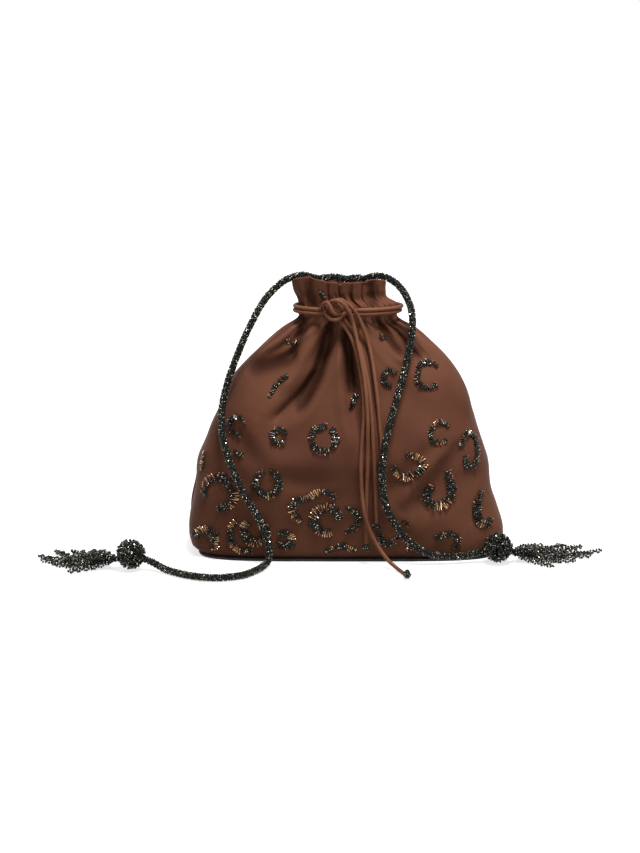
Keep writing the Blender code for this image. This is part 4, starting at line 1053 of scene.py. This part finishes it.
def make_studio():
    bpy.context.scene.view_settings.view_transform = "Standard"
    make_world()
    make_floor()
    for name, place, size, power in LAMPS:
        make_lamp(name, place, LAMP_AIM, size, power)
    for number, place in enumerate(GLINT_LAMPS, start=1):
        make_lamp(f"glint_{number}", place, LAMP_AIM, GLINT_SIZE, GLINT_POWER)


# Cords

def scaled(points):
    return np.asarray(points, float) * MM


def cord_line(route):
    return smooth_route(scaled(route), CORD_STEP)


def cord_tube(name, points, radius=DRAWCORD / 2):
    return loft(name, *tube_rings(points, radius, CORD_SIDES))


def meet_ball(points, centre, reach):
    """A route that ends where it meets a ball: cut off, or led on in the same steps."""
    kept = points[np.linalg.norm(points - centre, axis=1) > reach]
    away = kept[-1] - centre
    far = np.linalg.norm(away)
    count = round((far - reach) / np.linalg.norm(points[1] - points[0]))
    steps = np.linspace(far, reach, count + 1)[1:] / far
    return np.concatenate((kept, centre + steps[:, None] * away))


def round_cluster(name, centre, radius, count, size, draw, shape, tint):
    """Beads sewn all over a ball, in two uneven layers, over a dark core."""
    turn = pi * (3 - 5 ** 0.5)
    level = 1 - 2 * (np.arange(count) + 0.5) / count
    angle = turn * np.arange(count)
    flat = np.sqrt(1 - level ** 2)
    out = np.stack((flat * np.cos(angle), flat * np.sin(angle), level), axis=1)
    out += draw.normal(0, 0.06, out.shape)
    out /= np.linalg.norm(out, axis=1)[:, None]
    reach = radius - size / 2 - draw.uniform(0, 0.9, count) * size
    places = np.asarray(centre) + out * reach[:, None]
    sizes = np.full((count, 3), size) * draw.uniform(0.85, 1.15, (count, 1))
    places[:, 2] = np.maximum(places[:, 2], size / 2)
    beads = stamped(name, shape, places, loose_axes(out, draw, 0.8), sizes, bead_tints(count, tint, draw))
    core = stamped(name + "_inner", shape, np.asarray(centre) + out[::2] * (radius - 1.6 * size),
                   loose_axes(out[::2], draw), np.full((len(out[::2]), 3), size * 1.5),
                   bead_tints(len(out[::2]), 0.05, draw))
    return joined(name, [beads, core])


def make_tails(cord, bead, seed, draw):
    for number, (route, ball) in enumerate(TAIL_ROUTES, start=1):
        centre = scaled(ball)
        line = meet_ball(cord_line(route), centre, TAIL_BALL / 2 - 0.8 * MM)
        tail = cord_tube(f"tail_cord_{number}", line)
        finish_piece(tail, cord, "cord_brown", f"drawcord_tail_{number}")
        knob = round_cluster(f"tail_beads_{number}", centre, TAIL_BALL / 2, TAIL_KNOB_BEADS,
                             TAIL_KNOB_BEAD, draw, seed, 0.12)
        finish_piece(knob, bead, "bead_black", f"tail_ball_{number}")


def strap_ball_centre(side):
    x, y = STRAP_BALL_PLACES[side]
    return np.array((x * MM, y * MM, STRAP_BALL / 2 + GAP))


def rope_piece(name, line, bead, core, seed, draw, phase):
    """A rope of small beads wound round a dark core, along a line of even points."""
    ahead, side, up = frames_along(line)
    step = np.arange(len(line)) + phase
    angle = (2 * pi * np.arange(ROPE_BEADS_AROUND)[None, :] / ROPE_BEADS_AROUND
             + pi / ROPE_BEADS_AROUND * step[:, None])
    out = np.cos(angle)[..., None] * side[:, None] + np.sin(angle)[..., None] * up[:, None]
    slip = draw.uniform(-0.25, 0.25, angle.shape) * ROPE_PITCH
    places = line[:, None] + out * ROPE_BEAD_RADIUS + ahead[:, None] * slip[..., None]
    places[..., 2] = np.maximum(places[..., 2], ROPE_BEAD_LOWEST)
    around = np.cross(ahead[:, None], out)
    count = places.size // 3
    sizes = np.full((count, 3), SEED_BEAD) * draw.uniform(0.88, 1.12, (count, 1))
    beads = stamped(name, seed, places.reshape(-1, 3), loose_axes(around.reshape(-1, 3), draw, 0.3),
                    sizes, bead_tints(count, ROPE_TINT, draw))
    beads.data.materials.append(bead)
    inner = loft(name + "_core", *tube_rings(line[::2], ROPE_CORE, 10, round_ends=False))
    inner.data.materials.append(core)
    return joined(name, [beads, inner])


def make_strap(bead, core, seed, draw):
    line = smooth_route(scaled(STRAP_ROUTE), ROPE_PITCH)
    middle = int(np.argmin(np.abs(line[:, 0] - STRAP_SPLIT_X) + (line[:, 2] < BODY_HEIGHT)))
    halves = {"left": line[:middle + 1][::-1], "right": line[middle:]}
    for side, half in halves.items():
        centre = strap_ball_centre(side)
        half = meet_ball(half, centre, STRAP_BALL / 2 - 1.5 * MM)
        rope = rope_piece(f"strap_{side}", half, bead, core, seed, draw, middle if side == "right" else 0)
        knob = round_cluster(f"strap_knob_{side}", centre, STRAP_BALL / 2, KNOB_BEADS, KNOB_BEAD,
                             draw, seed, 0.10)
        finish_piece(knob, bead, "bead_black", f"strap_ball_{side}")
        fringe = make_fringe(side, centre, seed, draw)
        finish_piece(fringe, bead, "bead_black", f"strap_fringe_{side}")
        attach(rope, "root")
        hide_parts("strap_rope")


def fringe_lines(side, centre):
    """Middle lines of the strands: those that lie on the floor, and shorter ones heaped on them."""
    lean = np.array(FRINGE_LEANS[side])
    cap = centre + lean / np.linalg.norm(lean) * (STRAP_BALL / 2 - 0.5 * MM)
    floor = STRAND_BEAD * 1.05
    lines = []
    ends = FRINGES[side]
    for mid, tip in ends:
        middle = np.array((mid[0] * MM, mid[1] * MM, floor))
        end = np.array((tip[0] * MM, tip[1] * MM, floor))
        landing = cap + (middle - cap) * LANDING_SHARE
        landing[2] = floor + LANDING_LIFT * (cap[2] - floor)
        lines.append(smooth_route([cap, landing, middle, end], STRAND_PITCH))
    for (mid, tip), (next_mid, next_tip), (reach, rise, tip_rise) in zip(ends, ends[1:], HEAPED_STRANDS):
        middle = np.array(((mid[0] + next_mid[0]) / 2 * MM, (mid[1] + next_mid[1]) / 2 * MM, floor))
        end = np.array(((tip[0] + next_tip[0]) / 2 * MM, (tip[1] + next_tip[1]) / 2 * MM, floor))
        end = middle + (end - middle) * reach
        middle[2] += rise * MM
        end[2] += tip_rise * MM
        landing = cap + (middle - cap) * 0.5
        landing[2] = cap[2] + 2.5 * MM
        lines.append(smooth_route([cap, landing, middle, end], STRAND_PITCH))
    return lines


def make_fringe(side, centre, seed, draw):
    """Twisted pairs of bead strands that spread from the strap's end."""
    places = []
    aheads = []
    for line in fringe_lines(side, centre):
        ahead, beside, up = frames_along(line)
        run = np.arange(len(line)) * STRAND_PITCH
        start = draw.uniform(0, 2 * pi)
        for strand in (0, pi):
            angle = 2 * pi * run / STRAND_TWIST + start + strand
            out = np.cos(angle)[:, None] * beside + np.sin(angle)[:, None] * up
            places.append(line + out * STRAND_BEAD * 0.5)
            aheads.append(ahead)
        places.append(line[-1:] + ahead[-1:] * STRAND_BEAD * 0.8)
        aheads.append(ahead[-1:])
    places = np.concatenate(places)
    aheads = np.concatenate(aheads)
    places[:, 2] = np.maximum(places[:, 2], STRAND_BEAD / 2)
    sizes = np.full((len(places), 3), STRAND_BEAD) * draw.uniform(0.88, 1.12, (len(places), 1))
    return stamped(f"fringe_{side}", seed, places, loose_axes(aheads, draw, 0.35), sizes,
                   bead_tints(len(places), 0.14, draw))


def neck_loop(height):
    """The line of one turn of drawcord round the neck, from the knot's right side to its left."""
    around = np.linspace(0, 2, LOOP_SAMPLES, endpoint=False)
    ring = cloth_grid([height], around, -(GAP + DRAWCORD / 2), relief=0)[0][0]
    ring[:, 2] = height
    in_front = (ring[:, 1] < 0) & (np.abs(ring[:, 0] - KNOT_X) < KNOT_WIDTH / 2 + GAP)
    first = int(np.flatnonzero(in_front)[-1]) + 1
    ring = np.roll(ring, -first, axis=0)[:LOOP_SAMPLES - int(in_front.sum())]
    return smooth_route(ring[::LOOP_STRIDE], CORD_STEP)


def make_drawcord(cord):
    for name, height in (("upper", UPPER_TURN_HEIGHT), ("lower", LOWER_TURN_HEIGHT)):
        turn = cord_tube(f"cord_turn_{name}", neck_loop(height))
        finish_piece(turn, cord, "cord_brown", f"drawcord_{name}_turn")
    strands = [cord_tube(f"knot_strand_{number}", cord_line(route))
               for number, route in enumerate(KNOT_STRANDS, start=1)]
    bpy.ops.object.select_all(action="DESELECT")
    bpy.ops.mesh.primitive_ico_sphere_add(subdivisions=4, radius=0.5, location=(0, 0, 0))
    core = bpy.context.active_object
    core.scale = KNOT_CORE_SIZE
    core.location = KNOT_CORE
    bpy.ops.object.transform_apply(location=True, rotation=True, scale=True)
    core.data.shade_smooth()
    knot = joined("cord_knot", strands + [core])
    finish_piece(knot, cord, "cord_brown", "drawcord_knot")


def make_keepers(thread):
    """Two-ply pale threads that loop round the strap in the mouth."""
    route = smooth_route(scaled(STRAP_ROUTE), STRAP / 8)
    mouth = route[route[:, 1] > 0]
    for name, across in zip(("left", "right"), KEEPER_X):
        centre = mouth[np.argmin(np.abs(mouth[:, 0] - across * MM))]
        angle = np.linspace(0, 2 * pi, 97)
        reach = STRAP / 2 + GAP + KEEPER_PLY / 2
        plies = []
        for ply in (0, pi):
            twist = KEEPER_TWISTS * angle + ply
            away = reach + KEEPER_PLY / 2 * np.cos(twist)
            lean = KEEPER_PLY / 2 * np.sin(twist) + 1.2 * MM * np.sin(angle)
            line = centre + np.stack((lean, away * np.cos(angle), away * np.sin(angle)), axis=1)
            plies.append(loft(f"thread_{name}_{len(plies)}", *tube_rings(line, KEEPER_PLY / 2, 6)))
        finish_piece(joined(f"thread_{name}", plies), thread, "thread_pale", f"strap_keeper_{name}")


# Cloth pieces

def make_bag(satin):
    """The satin bag: folds and gathers outside, a turned rim, its plainer inner face and where painted shade
    darkens it.
    """
    around = around_shares(FRONT_COLUMNS, BACK_COLUMNS)
    body = [body_height(share) for share in (np.linspace(0, 1, BODY_ROWS, endpoint=False) ** 0.93)]
    ruffle = [ruffle_height(share) for share in np.linspace(0, 1, RUFFLE_ROWS)]
    heights = np.array(body + ruffle)
    outer, girths = cloth_grid(heights, around, relief=1.0, fine=1.0)
    rim, rim_girths = cloth_grid(heights[-1:], around, CLOTH_WALL / 2, relief=1.0, fine=1.0)
    rim[..., 2] += CLOTH_WALL / 3
    lowest = CLOTH_FOOT + 2 * CLOTH_WALL
    down = np.linspace(0, 1, INNER_ROWS)[1:] ** 1.4
    inner_heights = np.concatenate((heights[::-1][:RUFFLE_ROWS // 2 * 2:2],
                                    BODY_HEIGHT - down * (BODY_HEIGHT - lowest)))
    wall = np.interp(inner_heights[::-1], (INNER_EASE_TOP, BODY_HEIGHT), (INNER_EASE, CLOTH_WALL))[:, None]
    inner, inner_girths = cloth_grid(inner_heights[::-1], around, wall, relief=1.0, fine=1.0)
    inner = inner[::-1]
    inner[-1, :, 2] = CLOTH_FOOT + CLOTH_WALL
    rings = np.concatenate((outer, rim, inner))
    inner_run = heights[-1] + (heights[-1] - inner_heights)
    lengths = np.concatenate((heights, [heights[-1] + CLOTH_WALL / 2], inner_run))
    bag = loft("satin_bag", rings, np.concatenate((girths, rim_girths, inner_girths[::-1])), lengths)
    # Painted shade for the satin's colour, in the front's deep valleys and along the foot
    painted_shade = np.zeros(rings.shape[:2])
    sunk = np.where(around < 1, -soft_fold_relief(outer[..., 0], outer[..., 2]), 0)
    foot = smoothstep(1 - (outer[..., 2] - CLOTH_FOOT) / FOOT_PAINTED_SHADE)
    painted_shade[:len(outer)] = PAINTED_SHADE_SHARE * np.maximum(smoothstep(sunk / PAINTED_SHADE_DEPTH), foot)
    attribute = bag.data.attributes.new("painted_shade", "FLOAT", "POINT")
    attribute.data.foreach_set("value", painted_shade.astype(np.float32).ravel())
    finish_piece(bag, satin, "satin_brown", "outer_shell")
    return outer


def lining_peek(heights, around):
    """How far the lining's edge rises behind the open notch between two pleats."""
    place, width, rise = LINING_PEEK
    near = np.exp(-((around - place) / width) ** 2)
    return rise * smoothstep((heights[:, None] - BODY_HEIGHT) / (LINING_TOP * RUFFLE_HEIGHT)) * near


def make_lining(material):
    """The loose lining, with soft wrinkles, turned in below the rim."""
    around = around_shares(FRONT_COLUMNS, BACK_COLUMNS)
    floor = CLOTH_FOOT + CLOTH_WALL + GAP
    heights = np.concatenate((body_height(np.linspace(0, 0.98, LINING_RINGS)),
                              ruffle_height(np.linspace(0.10, LINING_TOP, LINING_RUFFLE_RINGS))))
    slack = np.interp(heights, (LINING_TAPER * BODY_HEIGHT, BODY_HEIGHT), (BODY_SLACK, RUFFLE_SLACK))
    wrinkle = np.sin(2 * pi * (9 * around[None] + 1.1 * np.sin(9 * heights[:, None] / BODY_HEIGHT)))
    hang = smoothstep((heights / BODY_HEIGHT - 0.1) / 0.3)[:, None]
    inset = CLOTH_WALL + GAP + slack[:, None] + LINING_WRINKLE * (1 + wrinkle) * hang
    faces = []
    girths = []
    for wall in (0, LINING_WALL):
        rings, girth = cloth_grid(heights, around, inset + wall, relief=1.0, fine=1.0)
        rings[..., 2] += lining_peek(heights, around)
        rings[0, :, 2] = floor + wall
        faces.append(rings)
        girths.append(girth)
    rings = np.concatenate((faces[0], faces[1][::-1]))
    lengths = np.concatenate((heights, 2 * heights[-1] - heights[::-1]))
    lining = loft("pink_lining", rings, np.concatenate((girths[0], girths[1][::-1])), lengths)
    finish_piece(lining, material, "lining_pink", "lining")


def make_base(material):
    """The stiff covered panel under the bag, with a soft rounded edge."""
    around = around_shares(160, 160)
    turn = np.linspace(-90, 90, 9)
    middle = BASE_PANEL_WALL / 2
    rings = []
    for angle in turn:
        ring = cloth_grid([CLOTH_FOOT], around, PANEL_EDGE * (1 - cos(radians(angle))), relief=0)[0][0]
        ring[:, 2] = middle + middle * sin(radians(angle))
        rings.append(ring)
    girth = cloth_grid([CLOTH_FOOT], around, relief=0)[1]
    panel = loft("base_board", np.stack(rings), np.repeat(girth, len(turn)), np.arange(len(turn)) * 0.4 * MM)
    finish_piece(panel, material, "base_black", "base_panel")


# Bead spots

def spot_path(across, height, radius, start, sweep):
    """Points of an open ring of beads, turning anticlockwise seen from the front."""
    angle = np.radians(start + sweep * np.linspace(0, 1, 33))
    return np.stack((across * BAG_WIDTH / 2 + radius * MM * np.cos(angle),
                     height * BODY_HEIGHT + radius * MM * np.sin(angle)), axis=1)


def on_cloth(tree, x, z, facing):
    """The cloth's surface seen from the front (facing -1) or the back (facing 1): point and normal."""
    far = Vector((x, facing * BAG_DEPTH, z))
    place, normal, _, _ = tree.ray_cast(far, Vector((0, -facing, 0)))
    if place is None:
        place, normal, _, _ = tree.find_nearest(Vector((x, facing * BAG_DEPTH / 4, z)))
    return place, normal


def sewn_beads(name, tree, path, length, bronze, facing, bugle, draw):
    """Tube beads sewn side by side across a path on the cloth."""
    line = smooth_route(path, BUGLE_PITCH)
    ahead = np.gradient(line, axis=0)
    places = []
    axes = []
    sizes = []
    tints = []
    patch = draw.uniform(0, 2 * pi)
    bend = np.cross(ahead[:-1], ahead[1:]).sum()
    for k, (x, z) in enumerate(line):
        share = k / max(1, len(line) - 1)
        place, normal = on_cloth(tree, x, z, facing)
        run = Vector((ahead[k, 0], 0, ahead[k, 1]))
        run = (run - normal * run.dot(normal)).normalized()
        long = normal.cross(run)
        long = (long + run * draw.normal(0, 0.17) + normal * draw.normal(0.05, 0.10)).normalized()
        side = long.cross(normal).normalized()
        fade = 0.80 + 0.25 * sin(pi * share)
        size = length * fade * draw.uniform(0.85, 1.08)
        lift = BEAD_LIFT + BUGLE_WIDTH * draw.uniform(0.35, 0.75)
        places.append(place + normal * lift + long * draw.normal(0, 0.35) * MM)
        axes.append((side, long.cross(side), long))
        sizes.append((BUGLE_WIDTH * draw.uniform(0.88, 1.1), BUGLE_WIDTH, size))
        glow = 0.35 + 0.6 * bronze + 0.28 * sin(3.5 * pi * share + patch) + draw.normal(0, 0.14)
        tints.append((glow, glow - INNER_DARK) if bend > 0 else (glow - INNER_DARK, glow))
    return stamped(name, bugle, places, axes, sizes, tints)


def make_spots(outer, bead, bugle, draw):
    """Every bead spot, sewn on the fine cloth."""
    rows, columns = outer.shape[:2]
    tree = BVHTree.FromPolygons(outer.reshape(-1, 3).tolist(), ring_faces(rows, columns).tolist())
    jobs = []
    for number, (across, height, radius, start, sweep, length, bronze) in enumerate(FRONT_SPOTS, start=1):
        path = spot_path(across, height, radius, start, sweep)
        jobs.append((f"spot_beads_{number:02d}", f"bead_spot_{number:02d}", path, length, bronze, -1))
    for number, (length, bronze, places) in enumerate(FRONT_TRAILS, start=1):
        path = np.array([(across * BAG_WIDTH / 2, height * BODY_HEIGHT) for across, height in places])
        jobs.append((f"trail_beads_{number:02d}", f"bead_trail_{number:02d}", path, length, bronze, -1))
    for number, (across, height, radius, start, sweep, length, bronze) in enumerate(BACK_SPOTS, start=1):
        path = spot_path(across, height, radius, start, sweep)
        jobs.append((f"back_beads_{number:02d}", f"back_spot_{number:02d}", path, length, bronze, 1))
    for name, node, path, length, bronze, facing in jobs:
        beads = sewn_beads(name, tree, path, length * MM, bronze, facing, bugle, draw)
        finish_piece(beads, bead, "bead_black", node)


def main():
    draw = np.random.default_rng(5)
    make_camera()
    cord = cord_material()
    bead = bead_material()
    core = plain_weave_material("rope_core", CORE_BLACK, darker(CORE_BLACK, 0.5), 0.8, 0.6 * MM)
    seed = seed_bead()
    bugle = bugle_bead()
    make_tails(cord, bead, seed, draw)
    make_strap(bead, core, seed, draw)
    make_drawcord(cord)
    thread = plain_weave_material("pale_thread", THREAD_PALE, darker(THREAD_PALE, 0.6), 0.6, 0.5 * MM)
    make_keepers(thread)
    outer = make_bag(satin_material())
    make_lining(lining_material())
    make_base(plain_weave_material("black_cloth", BASE_BLACK, darker(BASE_BLACK, 0.5), 0.75, 0.7 * MM))
    make_spots(outer, bead, bugle, draw)
    make_studio()


main()
